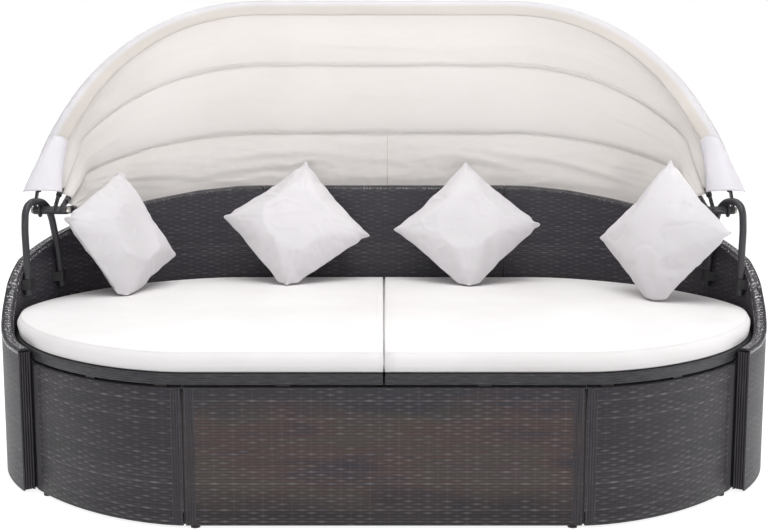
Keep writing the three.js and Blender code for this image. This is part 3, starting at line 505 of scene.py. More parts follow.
# A steel disc on the pivots' line, square to X, with softened edges.
def disc(name, radius, thick, x):
    work = bmesh.new()
    bmesh.ops.create_cone(work, cap_ends=True, segments=40, radius1=radius, radius2=radius, depth=thick)
    edges = [e for e in work.edges if e.is_manifold and abs(e.calc_face_angle(0)) > 1.0]
    bmesh.ops.bevel(work, geom=edges, offset=0.0008, affect="EDGES", segments=2, profile=0.5, material=-1)
    work.transform(Matrix.Translation((x, pivot.y, pivot.z)) @ Matrix.Rotation(math.pi / 2, 4, "Y"))
    return finishMesh(name, work, powder)


# Gives cloth its thickness.
def thicken(cloth, thickness, offset=0):
    solid = cloth.modifiers.new("Solidify", "SOLIDIFY")
    solid.thickness = thickness
    solid.offset = offset


# A smooth random value from -1 to 1.
def chanceAt(x, y, z):
    return noise.noise(Vector((x, y, z)))


# Upright strands side by side, which bind a panel's end. feet: (distance, inset) on the rail.
def addStrands(name, rail, feet, heights, radius, proud=0):
    strips = []
    for foot in feet:
        points = [rail.spot(*foot, z) - Vector((0, proud, 0)) for z in heights]
        strips.append(tube("strand", points, radius, edgeStrand))
    strip = joined(name, strips)
    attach(strip, "seat")


# Low front panels

low = {"foot": 0.005, "height": 0.324, "thick": 0.025, "skin": 0.004, "round": 0.006, "seam": 0.006,
       "startDegrees": 1.7, "endDegrees": 52, "column": 0.012}
lowStrand = {"count": 4, "pitch": 0.0058, "radius": 0.0028, "inset": 0.0016, "end": 0.004}


def lowSection(_):
    foot, top, thick, skin, edge = low["foot"], low["height"], low["thick"], low["skin"], low["round"]
    arc = [(edge * (1 - math.cos(t)), edge * (1 - math.sin(t))) for t in (0, 0.4, 0.8, 1.2, math.pi / 2)]
    outer = [(inset, foot + drop) for inset, drop in reversed(arc)]
    outer += [(inset, top - drop) for inset, drop in arc]
    return outer + [(thick, top), (thick, top - skin), (skin, top - skin), (skin, foot + skin),
                    (thick, foot + skin), (thick, foot)]


def addLowPanel(label, stations, material):
    rail = Rail(stations)
    columns = max(round(rail.length / low["column"]), 8)
    piece = sweptPanel("lowPanel_" + label, rail, lowSection, material, columns)
    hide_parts("base_weave_" + label)
    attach(piece, "seat")
    end = lowStrand["end"]
    heights = (low["foot"] + end, 0.08, 0.16, 0.24, low["height"] - end)
    for way, start, step in (("a", end, lowStrand["pitch"]), ("b", rail.length - end, -lowStrand["pitch"])):
        feet = [(start + step * k, lowStrand["inset"]) for k in range(lowStrand["count"])]
        addStrands(f"lowPanelBinding_{label}_{way}", rail, feet, heights, lowStrand["radius"])


seamHalf = low["seam"] / 2
addLowPanel("centre", [straightPoint(basePlan, x, -1) for x in (-flatHalf + seamHalf, flatHalf - seamHalf)],
            frontWeave)
corner = [straightPoint(basePlan, flatHalf + seamHalf, -1)]
corner += roundRail(basePlan, low["startDegrees"], low["endDegrees"], 90)
addLowPanel("right", corner, sideWeave)
addLowPanel("left", mirrored(corner), sideWeave)
print("stage: low panels")


# Tall back and arm panels

tall = {"foot": 0.005, "front": 0.358, "top": 0.681, "skin": 0.004, "round": 0.007, "frontDegrees": 54,
        "seamHalf": 0.369, "seam": 0.004, "column": 0.012}
# (degrees round the plan, share of the rise from the arms' front to the back)
topShares = [(54, 0), (64, 0.006), (72, 0.04), (80, 0.13), (86, 0.24), (92, 0.36), (100, 0.508), (110, 0.604),
             (120, 0.697), (135, 0.811), (150, 0.895), (165, 0.96), (180, 0.994), (181, 1)]
# the wound edge binding over the panels' top
wound = {"column": 0.008, "proud": 0.0012, "start": -0.15, "share": 1.3, "rise": 0.010, "drop": 0.0085,
         "uvWidth": 0.05, "centreUv": 2}
armStrand = {"count": 5, "pitch": 0.006, "radius": 0.0032, "inset": 0.003, "proud": 0.001}


def tallTop(degrees):
    for (a, lowShare), (b, highShare) in zip(topShares, topShares[1:]):
        if degrees <= b:
            way = min(max((degrees - a) / (b - a), 0), 1)
            return tall["front"] + (tall["top"] - tall["front"]) * (lowShare + (highShare - lowShare) * way)
    return tall["top"]


def tallSection(degrees):
    foot, top, thick, skin, edge = tall["foot"], tallTop(degrees), wallThick, tall["skin"], tall["round"]
    turns = (0, 0.52, 1.05, math.pi / 2)
    rise = [(edge * (1 - math.cos(t)), top - edge * (1 - math.sin(t))) for t in turns]
    fall = [(thick - inset, z) for inset, z in reversed(rise)]
    return [(0, foot)] + rise + fall + [(thick, foot), (thick - skin, foot), (thick - skin, top - skin),
                                        (skin, top - skin), (skin, foot)]


def addTallPanel(label, rail):
    columns = round(rail.length / tall["column"])
    piece = sweptPanel("tallPanel_" + label, rail, tallSection, backWeave, columns)
    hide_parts("back_weave_" + label)
    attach(piece, "seat")
    radius = wallThick / 2 + wound["proud"]

    def place(a, b):
        distance = rail.length * a
        turn = math.pi * (b * wound["share"] + wound["start"])
        z = tallTop(rail.at(distance)[2]) + wound["rise"] * math.sin(turn) - wound["drop"]
        # the painted silver highlights of the wound strand lie near UV 0, so the back's UV starts further on
        along = distance + (wound["centreUv"] if label == "centre" else 0)
        return rail.spot(distance, wallThick / 2 - radius * math.cos(turn), z), (along, b * wound["uvWidth"])

    columns = round(rail.length / wound["column"])
    edge = gridPiece("tallPanelBinding_" + label, columns, 10, place, binding, sharpAngle=0)
    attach(edge, "seat")


backSeam = tall["seamHalf"] - tall["seam"] / 2
addTallPanel("centre", Rail([straightPoint(wallPlan, x, 1) for x in (-backSeam, 0, backSeam)]))
armStations = roundRail(wallPlan, tall["frontDegrees"], 180, 260)
armStations.append(straightPoint(wallPlan, tall["seamHalf"] + tall["seam"] / 2, 1))
for label, side in sides:
    rail = Rail(armStations if side > 0 else mirrored(armStations))
    addTallPanel(label, rail)
    feet = [(0, armStrand["inset"] + armStrand["pitch"] * k) for k in range(armStrand["count"])]
    addStrands(f"armEndBinding_{label}", rail, feet, (0.009, 0.1, 0.2, 0.3, 0.350), armStrand["radius"],
               armStrand["proud"])
print("stage: tall panels")

# Dark strips close the gaps between the panels from behind, painted shade that makes the gaps read dark.
# The corner bars stand against the low panels' ends and reach behind the arms' front ends.
gapEdge = 0.0006
gapStrips = [
    {"name": "lowGapStrip_", "x": flatHalf, "y": 0.013 - baseHalfDepth, "size": (0.0048, 0.016),
     "z": (0.009, 0.316), "turn": 0},
    {"name": "backGapStrip_", "x": tall["seamHalf"], "y": wallPlan["back"] - wallThick / 2,
     "size": (0.003, 0.020), "z": (0.012, 0.679), "turn": 0},
    {"name": "cornerBar_", "x": 0.8504, "y": -0.3040, "size": (0.0260, 0.0144), "z": (0.010, 0.3285),
     "turn": 0.922}]
for label, side in sides:
    for entry in gapStrips:
        bottom, top = entry["z"]
        work = softBox((*entry["size"], top - bottom), gapEdge)
        spot = (side * entry["x"], entry["y"] + shift, (bottom + top) / 2)
        work.transform(Matrix.Translation(spot) @ Matrix.Rotation(side * entry["turn"], 4, "Z"))
        strip = finishMesh(entry["name"] + label, work, shadowedSteel)
        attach(strip, "seat")


# Deck rim

deck = {"low": 0.330, "high": 0.354, "skin": 0.004, "edge": 0.003, "split": 0.005, "steps": 150}


# The right or left seat half's outline in plan, from the split's front round to its back.
def seatOutline(side, inset, splitInset):
    split = deck["split"] / 2 + splitInset
    front, back = inset - seatPlan["front"], seatPlan["back"] - inset
    flat = [split + (flatHalf - split) * k / 12 for k in range(1, 12)]
    points = [Vector((x, front)) for x in (split, split + 0.03, *flat[1:])]
    for k in range(deck["steps"] + 1):
        p, n, _ = planPoint(seatPlan, 180 * k / deck["steps"])
        points.append(p - n * inset)
    points += [Vector((x, back)) for x in (*reversed(flat), split)]
    return [Vector((side * p.x, p.y + shift)) for p in points]


def addDeck(label, side):
    bottom, top, skin, edge = deck["low"], deck["high"], deck["skin"], deck["edge"]
    rings = [(skin, top - skin), (skin, bottom), (edge * 0.4, bottom), (0, bottom + edge), (0, top - edge),
             (edge * 0.3, top - edge * 0.3), (edge, top)]
    loops = [seatOutline(side, inset, inset) for inset, _ in rings]
    count = len(loops[0])
    # lengths on the outer face's lower ring
    lengths = lengthsRound(loops[3])

    def place(a, b):
        k = round(a * count)
        row = round(b * (len(rings) - 1))
        p, (inset, z) = loops[row][k % count], rings[row]
        return Vector((p.x, p.y, z)), (lengths[k], z + inset)

    piece = gridPiece("deckRim_" + label, count, len(rings) - 1, place, rimWeave, closed=True, ends=True)
    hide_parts("deck_weave_" + label)
    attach(piece, "seat")


for label, side in sides:
    addDeck(label, side)
print("stage: deck")


# Seat cushions

cushion = {"low": 0.3543, "high": 0.410, "splitHalf": 0.0009, "splitShare": 0.22, "widest": 0.0035,
           "middleX": 0.44, "rings": 9, "fill": 0.974, "side": (0.1, 0.85), "pucker": 0.0022,
           "smallPucker": 0.0009, "wave": 0.0012, "dent": 0.0022, "settle": 0.0016, "smallDent": 0.0008}
# (inset, share of the height) from the under side's edge over the widest line to the top
cushionProfile = [
    (0.030, 0.0), (0.016, 0.006), (0.009, 0.05), (0.0065, 0.10), (0.008, 0.14), (0.0062, 0.19), (0.004, 0.32),
    (0.0035, 0.46), (0.0048, 0.60), (0.0085, 0.72), (0.0105, 0.775), (0.0125, 0.80), (0.0125, 0.83),
    (0.017, 0.862), (0.026, 0.895), (0.042, 0.93), (0.065, 0.955), (0.10, 0.974)]


def addCushion(label, side):
    bottom, full = cushion["low"], cushion["high"] - cushion["low"]
    outer = []
    for inset, _ in cushionProfile:
        slant = (inset - cushion["widest"]) * cushion["splitShare"]
        outer.append(seatOutline(side, inset, cushion["splitHalf"] - deck["split"] / 2 + slant))
    count, edge = len(outer[0]), len(cushionProfile)
    middle = Vector((side * cushion["middleX"], (seatPlan["back"] - seatPlan["front"]) / 2 + shift))
    # lengths on the widest ring
    lengths = lengthsRound(outer[7])
    total = edge + cushion["rings"]

    def place(a, b):
        k = round(a * count) % count
        row = round(b * total)
        spin = lengths[k]
        if row == 0:
            p, z = middle, bottom
        elif row <= edge:
            p, share = outer[row - 1][k], cushionProfile[row - 1][1]
            z = bottom + full * share
            start, end = cushion["side"]
            if start < share < end:
                # the side's slack: soft upright puckers between the two seams
                slack = math.sin(math.pi * (share - start) / (end - start))
                pucker = chanceAt(spin * 17, share * 1.5, side * 7) * cushion["pucker"]
                pucker += chanceAt(spin * 55, share * 3, side * 3) * cushion["smallPucker"]
                p = p + (p - middle).normalized() * pucker * slack
                z += chanceAt(spin * 9, 4, side) * cushion["wave"] * slack
        else:
            way = (row - edge) / cushion["rings"]
            p = outer[-1][k].lerp(middle, way)
            z = bottom + full * (cushion["fill"] + (1 - cushion["fill"]) * math.sin(way * math.pi / 2))
        if row > edge - 5:
            # the top is a little uneven
            ease = min(max((row - edge + 5) / 6, 0), 1)
            far = min((p - middle).length / 0.3, 1)
            z += ease * (chanceAt(p.x * 3.1, p.y * 3.7, 1.3 + side) * cushion["dent"] - cushion["settle"])
            z += ease * chanceAt(p.x * 11, p.y * 14, 5) * cushion["smallDent"] * far
        return Vector((p.x, p.y, z)), (p.x + (z if row < edge else 0), p.y)

    piece = gridPiece("seatCushion_" + label, count, total, place, coverCloth, closed=True, sharpAngle=0)
    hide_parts("seat_cushion_" + label)
    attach(piece, "seat")


for label, side in sides:
    addCushion(label, side)
print("stage: seat cushions")


# Scatter cushions

pillows = [
    {"label": "left", "size": 0.96, "at": (-0.742, 0.260, 0.560), "yaw": 60, "lean": 22, "roll": -22},
    {"label": "centre_left", "size": 1.0, "at": (-0.262, 0.452, 0.570), "yaw": 5, "lean": 33, "roll": -9},
    {"label": "centre_right", "size": 0.9908, "at": (0.248, 0.440, 0.568), "yaw": -6, "lean": 32, "roll": 3},
    {"label": "right", "size": 0.9692, "at": (0.762, 0.130, 0.580), "yaw": -49, "lean": 17, "roll": 7},
]
# drawn: how far the sides of the quick form pull in, not used; drawnShare: how much of the cloth's own
# pull-in stays; soft: the height over the seat in which a cushion's foot is pressed flat
pillow = {"size": 0.325, "grid": 56, "apart": 0.016, "full": 0.115, "drawn": 0.05, "frames": 24, "cap": 0.075,
          "drawnShare": 0.27, "lift": 0.0006, "soft": 0.012, "clear": 0.0015}
stuffing = {"quality": 6, "mass": 0.25, "use_pressure": True, "uniform_pressure_force": 4,
            "tension_stiffness": 40, "compression_stiffness": 12, "shear_stiffness": 8,
            "bending_stiffness": 0.25}
marks = {"swell": 0.008, "smallSwell": 0.003, "fold": 0.022, "foldWidth": 0.09, "pucker": 0.0042,
         "crease": 0.0035, "pinch": 0.0045, "pinchRange": 0.009}


# How full a square cover is at u, v from -1 to 1.
def fullness(u, v):
    return max((1 - u * u) * (1 - v * v), 0)


# Two square sheets sewn together at their edges, a little apart in the middle.
def flatPillow(size):
    def place(face, a, b):
        u, v = 2 * a - 1, 2 * b - 1
        spot = Vector((u * size / 2, v * size / 2, face * pillow["apart"] * fullness(u, v) ** 0.5))
        return spot, ((a + (1.2 if face < 0 else 0)) * size, b * size)

    count = pillow["grid"]
    halves = [gridPiece("half", count, count, partial(place, face), pillowCloth, sharpAngle=0)
              for face in (1, -1)]
    piece = joined("pillowSource", halves)
    work = bmesh.new()
    work.from_mesh(piece.data)
    bmesh.ops.remove_doubles(work, verts=work.verts, dist=1e-5)
    bmesh.ops.recalc_face_normals(work, faces=work.faces)
    work.to_mesh(piece.data)
    work.free()
    return piece


# Blows the sewn sheets up like a stuffed cover, so that the sides pull in and pucker.
def inflate(piece):
    cloth = piece.modifiers.new("Cloth", "CLOTH")
    for label, value in stuffing.items():
        setattr(cloth.settings, label, value)
    cloth.settings.effector_weights.gravity = 0
    cloth.collision_settings.use_self_collision = False
    for step in range(1, pillow["frames"] + 1):
        bpy.context.scene.frame_set(step)
    baked = workedMesh(piece)
    bpy.context.scene.frame_set(1)
    piece.modifiers.clear()
    return baked


# Handling marks: uneven stuffing, puckers along the seam, creases that run in from the corners
def crumple(mesh, flat, size, index):
    for vert, old in zip(mesh.vertices, flat):
        u, v = 2 * old.x / size, 2 * old.y / size
        face = 1 if old.z > 0 else -1
        edge = 1 - max(abs(u), abs(v))
        along = v if abs(u) > abs(v) else u
        seed = index * 5.1 + (2.3 if face > 0 else 0)
        move = chanceAt(u * 1.3, v * 1.3, seed) * marks["swell"]
        move += chanceAt(u * 2.9 + v, v * 2.9, seed + 9) * marks["smallSwell"]
        fold = abs(chanceAt(u * 1.9 - v * 0.8, v * 2.4 + u, seed + 17))
        move -= max(marks["foldWidth"] - fold, 0) * marks["fold"]
        move *= min(edge / 0.16, 1)
        near = edge / 0.09 * math.exp(1 - edge / 0.09) if edge > 0 else 0
        move += near * chanceAt(along * 7.5, face * 3.0, seed + 4) * marks["pucker"]
        corner = max(abs(u) + abs(v) - 1.1, 0) / 0.9
        crease = math.exp(-((abs(u) - abs(v)) / 0.055) ** 2)
        move -= corner * crease * marks["crease"] * min(edge / 0.03, 1)
        vert.co.z += face * move
        # the corners stand out as small ears, pinched behind
        hold = max(1 - edge / 0.3, 0) * math.exp(-((abs(along) - 0.83) / 0.07) ** 2)
        pinch = marks["pinch"] + marks["pinchRange"] * chanceAt(
            round(u) * 3.7, round(v) * 2.9, index * 1.7 + round(along))
        axis = 0 if abs(u) > abs(v) else 1
        vert.co[axis] -= math.copysign(hold * max(pinch, 0.001), (u, v)[axis])


def standPillow(entry, index):
    size = pillow["size"] * entry["size"]
    piece = flatPillow(size)
    verts = piece.data.vertices
    flat = [v.co.copy() for v in verts]
    baked = inflate(piece)
    for vert, new, old in zip(verts, baked.vertices, flat):
        move = new.co - old
        move.xy *= pillow["drawnShare"]
        if move.length > pillow["cap"]:
            move = move.normalized() * pillow["cap"]
        vert.co = old + move
    high = max(v.co.z for v in verts)
    for vert in verts:
        vert.co.z *= pillow["full"] / 2 / high
    crumple(piece.data, flat, size, index)
    stand = Matrix.Translation(Vector(entry["at"]) + Vector((0, shift, 0)))
    for degrees, axis in ((entry["yaw"], "Z"), (90 - entry["lean"], "X"), (45 + entry["roll"], "Z")):
        stand = stand @ Matrix.Rotation(math.radians(degrees), 4, axis)
    piece.data.transform(stand)
    # it stands flat on the seat and keeps clear of the backrest
    soft = pillow["soft"]
    floor = cushion["high"] + pillow["lift"]
    limit = wallPlan["back"] - wallThick - pillow["clear"] + shift
    for vert in verts:
        if vert.co.z < floor + soft:
            vert.co.z = floor + soft * math.exp((vert.co.z - floor - soft) / soft)
        if vert.co.z < tall["top"] + 0.004 and vert.co.y > limit:
            vert.co.y = limit
    piece.name = piece.data.name = "scatterCushion_" + entry["label"]
    smooth = piece.modifiers.new("Subdivision", "SUBSURF")
    smooth.levels = smooth.render_levels = 1
    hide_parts("pillow_" + entry["label"])
    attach(piece, "seat")


for index, entry in enumerate(pillows):
    standPillow(entry, index)
print("stage: scatter cushions")


# Hood hoops and brackets

hood = {"tube": 0.016, "reach": 0.705, "span": 0.945, "flat": 0.362, "power": 2.1, "spread": 0.300,
        "spreadStep": 0.013, "corner": 0.62, "start": 0.062, "points": 72}
# the hoops' ends: the eye's radius, and the flattened tube's thickness, width, edge, length and middle as
# shares of the start
eyes = {"boss": 0.011, "tang": 0.0045, "wide": 0.021, "edge": 0.0015, "long": 1.25, "middle": 0.63}
angles = {"rear": -3, "third": 16, "second": 35.5, "front": 53.5}
bodies = {"rear": "hood_rear", "third": "hood_third", "second": "hood_second", "front": "hood_front"}


# The least and greatest x of a hoop's eye on one side, read from its solid.
def eyeSpan(name, side):
    spots = [v.co for v in nodes["hoop_" + name].data.vertices]
    eye = [p.x for p in spots
           if p.x * side > 0 and math.hypot(p.y - pivot.y, p.z - pivot.z) < eyes["boss"] * 0.6]
    return min(eye), max(eye)


# each hoop's own place beside the pivot
pivotX = {name: eyeSpan(name, 1)[0] + eyes["tang"] / 2 for name in angles}
pivotX["front"] = eyeSpan("front", 1)[1] - eyes["tang"] / 2


def hoopWidth(name, radius):
    share = min(radius / hood["reach"], 1)
    full = hood["flat"] + (hood["span"] - hood["flat"]) * (1 - share ** hood["power"]) ** (1 / hood["power"])
    near = 0
    for k in range(-3, 4):
        near += math.sqrt(max(1 - ((radius + hood["spreadStep"] * k) / hood["spread"]) ** 2, 0)) / 7
    return full - (hood["span"] - pivotX[name]) * near


# A hoop's line as (x, distance from the pivots); way runs from -1 at the left to 1.
def hoopPlace(name, way, start):
    spread, corner = abs(way), hood["corner"]
    if spread < 1 - corner:
        return Vector((hood["flat"] * way / (1 - corner), hood["reach"]))
    first = math.asin((start / hood["reach"]) ** (hood["power"] / 2))
    turn = math.pi / 2 + (first - math.pi / 2) * (spread - 1 + corner) / corner
    radius = hood["reach"] * math.sin(turn) ** (2 / hood["power"])
    return Vector((math.copysign(hoopWidth(name, radius), way), radius))


# A point in a hoop's plane, set off outwards from its line.
def hoopBeside(name, way, start, outwards):
    step = 0.003
    ahead = hoopPlace(name, min(way + step, 1), start) - hoopPlace(name, max(way - step, -1), start)
    ahead.normalize()
    return hoopPlace(name, way, start) + Vector((-ahead.y, ahead.x)) * outwards


# A point in the plane of a hoop at an angle, lifted off it.
def swing(x, radius, degrees, lift=0.0):
    tilt = math.radians(degrees)
    return Vector((x, pivot.y + radius * math.cos(tilt) - lift * math.sin(tilt),
                   pivot.z + radius * math.sin(tilt) + lift * math.cos(tilt)))


def addHoop(name):
    count, start = hood["points"], hood["start"]
    points = [swing(*hoopPlace(name, 2 * k / count - 1, start), angles[name]) for k in range(count + 1)]
    parts = [tube("bar", points, hood["tube"] / 2, powder)]
    turned = Matrix.Translation(pivot) @ Matrix.Rotation(math.radians(angles[name]), 4, "X")
    for side in (-1, 1):
        near, far = eyeSpan(name, side)
        parts.append(disc("eye", eyes["boss"], far - near, (near + far) / 2))
        # the flattened tube end
        work = softBox((eyes["tang"], start * eyes["long"], eyes["wide"]), eyes["edge"])
        work.transform(turned @ Matrix.Translation((side * pivotX[name], start * eyes["middle"], 0)))
        parts.append(finishMesh("tang", work, powder))
    piece = joined("hoop" + name.capitalize(), parts)
    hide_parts("hoop_" + name)
    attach(piece, bodies[name])


for name in angles:
    addHoop(name)
print("stage: hoops")

bracket = {"foot": 0.430, "front": 0.046, "deep": 0.159, "high": 0.2455, "tube": 0.019, "gap": 0.0003,
           "lug": 0.019, "lugThick": 0.005}
# the bent tube's line as shares of its depth and height
bracketShares = [(0, 0), (0, 0.45), (0, 0.8), (0.06, 0.93), (0.22, 0.992), (0.42, 1), (0.62, 0.965),
                 (0.76, 0.87), (0.86, 0.66), (0.94, 0.34), (1, 0)]


# The tall panels' distance from the middle, moved inwards, at a place along Y.
def wallX(y, inset):
    p, n, _ = min(armStations, key=lambda s: abs(s[0].y - s[1].y * inset - y))
    return p.x - n.x * inset


for label, side in sides:
    inset = wallThick + bracket["gap"] + bracket["tube"] / 2
    points = []
    for deep, high in bracketShares:
        y = bracket["front"] + bracket["deep"] * deep
        points.append(Vector((side * wallX(y, inset), y + shift, bracket["foot"] + bracket["high"] * high)))
    bar = tube("bar", points, bracket["tube"] / 2, powder, resolution=8)
    lug = disc("lug", bracket["lug"], bracket["lugThick"], side * wallX(pivotBack, inset))
    piece = joined("canopyBracket_" + label, [bar, lug])
    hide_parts("canopy_bracket_" + label)
    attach(piece, "seat")
print("stage: brackets")


# Hood cloth

# start: distance from the pivots at which the cloth ends; pocket: how far a sleeve hangs down, in its radii;
# seamAt: the middle seam's place across the rear band
canopy = {"columns": 160, "rows": 26, "lapRows": 4, "thick": 0.0011, "sag": 0.013, "start": 0.088,
          "sleeve": 0.0092, "sleeveRows": 20, "gap": 0.0016, "drop": 0.0065, "rearDrop": 2.2, "lip": 0.005,
          "pocket": 1.55, "seamAt": 0.506, "stitch": 0.0016, "cut": 0.30, "uv": (2.6, 0.3),
          "sleeveUv": (2.6, 0.058)}
# lower hoop, upper hoop and seed of each band
bands = {"rear": ("rear", "third", 0), "middle": ("third", "second", 11), "front": ("second", "front", 23)}
# (left end, height, right end, height, depth) of the pulls in the rear band
pulls = [(-0.62, 0.30, -0.20, 0.62, 0.010), (-0.52, 0.62, -0.16, 0.72, 0.008),
         (-0.80, 0.55, -0.42, 0.20, 0.009), (-0.06, 0.66, 0.14, 0.40, 0.006), (0.16, 0.72, 0.46, 0.42, 0.010),
         (0.34, 0.75, 0.72, 0.36, 0.009), (0.42, 0.24, 0.66, 0.20, 0.006)]


# A hoop's own line, in space.
def hoopLine(name, way):
    return swing(*hoopPlace(name, way, canopy["start"]), angles[name])


# Straight down, but square to the hoop
def hangWay(name, way):
    near, far = (hoopLine(name, max(min(way + step, 1), -1)) for step in (-0.004, 0.004))
    along = (far - near).normalized()
    down = Vector((0, 0, -1))
    down -= along * along.dot(down)
    return (down + (swing(0, 0, angles[name], -1) - pivot) * 0.3).normalized()


# The sewn pocket round a hoop: snug on the tube, drawn down to the seam with the cloth below
def addSleeve(name):
    def place(a, b):
        way = 2 * a - 1
        turn = 2 * math.pi * b
        snug = canopy["sleeve"] + chanceAt(way * 12, b * 2, angles[name]) * 0.0005
        spot = hoopBeside(name, way, canopy["start"], snug * math.cos(turn))
        point = swing(*spot, angles[name], snug * math.sin(turn))
        if name != "rear":
            hang = hangWay(name, way)
            facing = (point - hoopLine(name, way)).normalized().dot(hang)
            point += hang * snug * (canopy["pocket"] - 1) * max(facing, 0) ** 2
        return point, (a * canopy["sleeveUv"][0], b * canopy["sleeveUv"][1])

    sleeve = gridPiece("canopySleeve_" + name, canopy["columns"], canopy["sleeveRows"], place, sleeveCloth,
                       closed=True, sharpAngle=0)
    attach(sleeve, bodies[name])


# How far the pulls lift the rear band: each is a ridge with a hollow beside it.
def pullDepth(way, b):
    depth = 0
    for left, leftHigh, right, rightHigh, deep in pulls:
        share = (way - left) / (right - left)
        if -0.1 < share < 1.1:
            line = leftHigh + (rightHigh - leftHigh) * share + 0.06 * math.sin(share * math.pi)
            off = (b - line) * 0.24
            depth += deep * math.sin(math.pi * (share + 0.1) / 1.2) * (
                math.exp(-(off / 0.010) ** 2) - 0.55 * math.exp(-((off + 0.021) / 0.014) ** 2))
    return depth


# Cloth between two hoops. Its lower edge laps over the inner side of the lower hoop and ends in a free
# hem; its upper edge is sewn to the foot of the upper hoop's pocket, in front to the tube's outer side.
def bandSpot(label, way, b):
    lower, upper, seed = bands[label]
    gap = canopy["sleeve"] + canopy["gap"]
    p = hoopBeside(lower, way, canopy["start"], -gap)
    if b < 0:
        length = canopy["drop"] * (1 + chanceAt(way * 7, seed, 3) * 0.2)
        if label == "rear":
            length *= canopy["rearDrop"]
        return swing(*p, angles[lower], canopy["lip"]) - hangWay(lower, way) * length * b
    if label == "front":
        foot = swing(*hoopBeside(upper, way, canopy["start"], -gap * 0.4), angles[upper], -gap * 0.93)
    else:
        foot = hoopLine(upper, way) + hangWay(upper, way) * canopy["sleeve"] * canopy["pocket"] * 1.03
    rise = foot - pivot
    q = Vector((foot.x, math.hypot(rise.y, rise.z)))
    high = math.degrees(math.atan2(rise.z, rise.y))
    full = min((p.y + q.y) / 2 / hood["reach"], 1)
    belly = 4 * b * (1 - b)
    # the cloth drops steeply from the upper hoop, then runs out to the lower one
    sag = canopy["sag"] * full * (belly * 0.75 + math.sin(math.pi * b ** 0.62) * 0.25)
    soft = chanceAt(way * 2.3 + seed, b * 4.2, 0.3) * 0.006
    soft += chanceAt(way * 6 + seed, b * 11 + way * 4, 1.7) * 0.0022
    drag = abs(chanceAt(way * 1.5 + b * 1.1 * math.copysign(1, way) + seed, b * 5.5 - abs(way) * 5, 6))
    soft += max(0.10 - drag, 0) * (0.075 if label == "rear" else 0.02)
    sag += soft * belly * (0.35 + 0.65 * full)
    if label == "rear":
        sag += pullDepth(way, b) * min(belly * 1.5, 1)
        # a stitched hem above the free edge, and a seam up the middle
        sag -= canopy["stitch"] * math.exp(-((b - 0.16) / 0.02) ** 2)
        sag -= canopy["stitch"] * math.exp(-(((way + 1) / 2 - canopy["seamAt"]) / 0.0035) ** 2)
    spot = p.lerp(q, b)
    tilt = angles[lower] + (high - angles[lower]) * b
    x = spot.x * (1 - sag * (1 - full) / hood["span"])
    return swing(x, spot.y * (1 - sag / max(spot.y, 0.1)), tilt, canopy["lip"] * (1 - b))


def addBand(label):
    lower, upper, _ = bands[label]
    tail = canopy["lapRows"] / canopy["rows"]

    def place(a, b):
        share = (b - tail) / (1 - tail) if b > tail else b / tail - 1
        return bandSpot(label, 2 * a - 1, share), (a * canopy["uv"][0], b * canopy["uv"][1])

    band = gridPiece("canopyBand_" + label, canopy["columns"], canopy["rows"], place, canopyCloth,
                     sharpAngle=0)
    thicken(band, canopy["thick"])
    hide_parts("canopy_cloth_" + label)
    ends = [swing(0, hood["reach"], angles[name]) for name in (lower, upper)]
    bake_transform(band)
    return ends


# The thread of the rear band's middle seam, a little in front of the cloth.
def addSeam(ends):
    way = 2 * canopy["seamAt"] - 1
    points = [bandSpot("rear", way, 0.17 + 0.8 * k / 12) + Vector((0, -0.0012, -0.0004)) for k in range(13)]
    thread = tube("canopySeam", points, 0.0009, seamThread)
    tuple(ends[0])
    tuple(ends[1])
    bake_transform(thread)


for label in bands:
    ends = addBand(label)
    if label == "rear":
        addSeam(ends)
for name in angles:
    addSleeve(name)
print("stage: hood bands")

# inner and outer: the strip's edges beside the front hoop's line; fall: where the outer edge turns down
hem = {"inner": -0.038, "outer": 0.024, "lift": 0.0084, "under": 0.001, "thick": 0.00144, "start": 0.150,
       "dome": 0.0045, "fall": 0.78, "drop": 0.010, "ripple": 0.0015, "uv": (2.9, 0.062)}


def addHem():
    def place(a, b):
        way = 2 * a - 1
        spot = hoopBeside("front", way, hem["start"], hem["inner"] + (hem["outer"] - hem["inner"]) * b)
        dome = hem["dome"] * (1 - (2 * b - 1) ** 2)
        fall = hem["drop"] * (max(b - hem["fall"], 0) / (1 - hem["fall"])) ** 2
        lift = hem["lift"] + hem["under"] + dome - fall + chanceAt(way * 9, b * 2, 8) * hem["ripple"]
        return swing(*spot, angles["front"], lift), (a * hem["uv"][0], b * hem["uv"][1])

    strip = gridPiece("canopyHem", 170, 8, place, hemCloth, sharpAngle=0)
    thicken(strip, hem["thick"], 1)
    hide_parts("canopy_hem_front")
    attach(strip, bodies["front"])


addHem()

# top and foot: distances from the pivots; bow: how far the foot's middle hangs lower
flap = {"top": 0.216, "foot": 0.049, "topHalf": 0.026, "footHalf": 0.054, "deep": 0.030, "bow": 0.012,
        "lift": 0.0135, "inside": 0.0012, "ripple": 0.002, "thick": 0.0014, "uv": (0.15, 0.18)}


# A cloth cuff that hides the hoops' ends, closed in front and open to the back.
def addFlap(label, side):
    def place(a, b):
        turn = math.pi * (a - 0.5)
        radius = flap["top"] + (flap["foot"] - flap["bow"] * math.cos(turn) - flap["top"]) * b
        half = flap["topHalf"] + (flap["footHalf"] - flap["topHalf"]) * b - flap["inside"]
        centre = hoopWidth("front", radius) - flap["footHalf"] / 3
        ripple = chanceAt(a * 4, b * 3, side * 2) * flap["ripple"]
        lift = flap["lift"] + (flap["deep"] + ripple - 0.001) * math.cos(turn)
        spot = swing(side * (centre + half * math.sin(turn)), radius, angles["front"], lift)
        return spot, (a * flap["uv"][0], b * flap["uv"][1])

    cuff = gridPiece("canopyFlap_" + label, 40, 24, place, flapCloth, sharpAngle=0)
    thicken(cuff, flap["thick"])
    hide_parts("canopy_flap_" + label)
    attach(cuff, bodies["front"])


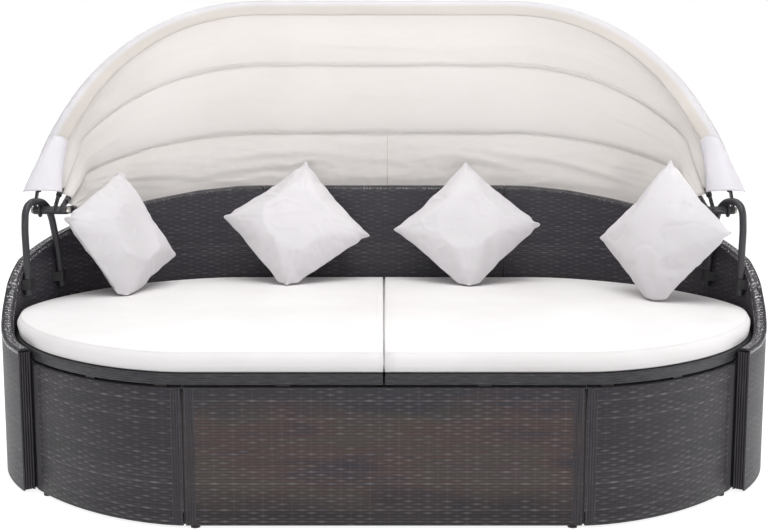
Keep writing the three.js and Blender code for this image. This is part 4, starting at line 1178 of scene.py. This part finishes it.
for label, side in sides:
    addFlap(label, side)
print("stage: hood cloth")


# Frame, fasteners and glides keep their solids

fittings = {"foot": nylon, "bracket": nylon, "pivot": zinc}
for name, piece in nodes.items():
    if not piece.hide_render:
        piece.data.materials.clear()
        piece.data.materials.append(fittings.get(name.split("_")[0], shadowedSteel))


# Stage, light and camera

# floor: white for the camera and in reflections, softer as a light on the object
stage = {"size": 80, "floor": 0.64, "floorSeen": 0.22, "world": 0.46}


def addStage():
    work = bmesh.new()
    bmesh.ops.create_grid(work, x_segments=1, y_segments=1, size=stage["size"])
    material, shader, add = newMaterial("floor", "#a4a4a4", 0.85)
    white = (1, 1, 1, 1)
    shader.inputs["Emission Color"].default_value = white
    seen = add("MAXIMUM", *(add("LightPath", out=label) for label in ("Is Camera Ray", "Is Glossy Ray")))
    link(shader, Emission_Strength=add("MULTIPLY_ADD", seen, stage["floorSeen"], stage["floor"]))
    floor = finishMesh("floor", work, material, sharpAngle=0)
    world = bpy.data.worlds.new("world")
    bpy.context.scene.world = world
    world.use_nodes = True
    world.node_tree.nodes.remove(world.node_tree.nodes["Background"])
    back, shown = (addNode(world, "Background", white, strength) for strength in (stage["world"], 1))
    camera = addNode(world, "LightPath", out="Is Camera Ray")
    link(world.node_tree.nodes["World Output"], Surface=addNode(world, "MixShader", camera, back, shown))


addStage()
# (name, place, aim, width, power, height, spread); hoodFill is a gridded softbox that reaches only the
# inside of the hood
lights = [
    ("key", (0.4, -4.3, 2.7), (0, 0, 0.6), 3.0, 9, 1.6, 180),
    ("bounce", (0, -4.0, 0.35), (0, 0.3, 1.0), 4.0, 6, 0.7, 180),
    ("hoodFill", (0, -4.0, 0.7), (0, 0.3, 1.0), 3.2, 2.5, 0.4, 16),
    ("top", (0, -0.8, 4.0), (0, -0.1, 0.4), 3.0, 96, 3.0, 180),
    ("leftFill", (-3.8, -1.0, 1.4), (0, 0, 0.5), 2.0, 10, 2.0, 180),
    ("rightFill", (3.8, -1.0, 1.4), (0, 0, 0.5), 2.0, 31, 2.0, 180),
    ("behind", (0, 3.4, 3.2), (0, 0.3, 0.9), 3.0, 76, 3.0, 180),
]
for name, spot, aim, width, power, height, spread in lights:
    light = bpy.data.lights.new(name, "AREA")
    light.spread = math.radians(spread)
    light.shape = "RECTANGLE"
    light.size = width
    light.size_y = height
    light.energy = power
    holder = addObject(name, light)
    holder.location = spot
    holder.rotation_euler = (Vector(aim) - Vector(spot)).to_track_quat("-Z", "Y").to_euler()

# the view that was solved from the photo: distance from the low panels' front, height, degrees down
view = {"distance": 2.77, "height": 0.995, "down": 8.165, "lens": 60, "sensor": 36}
camera = bpy.data.cameras.new("camera")
camera.sensor_width = view["sensor"]
camera.lens = view["lens"]
holder = addObject("camera", camera)
holder.location = (0, -baseHalfDepth - view["distance"] + shift, view["height"])
holder.rotation_euler = (math.radians(90 - view["down"]), 0, 0)
bpy.context.scene.camera = holder
bpy.context.scene.view_settings.view_transform = "Standard"
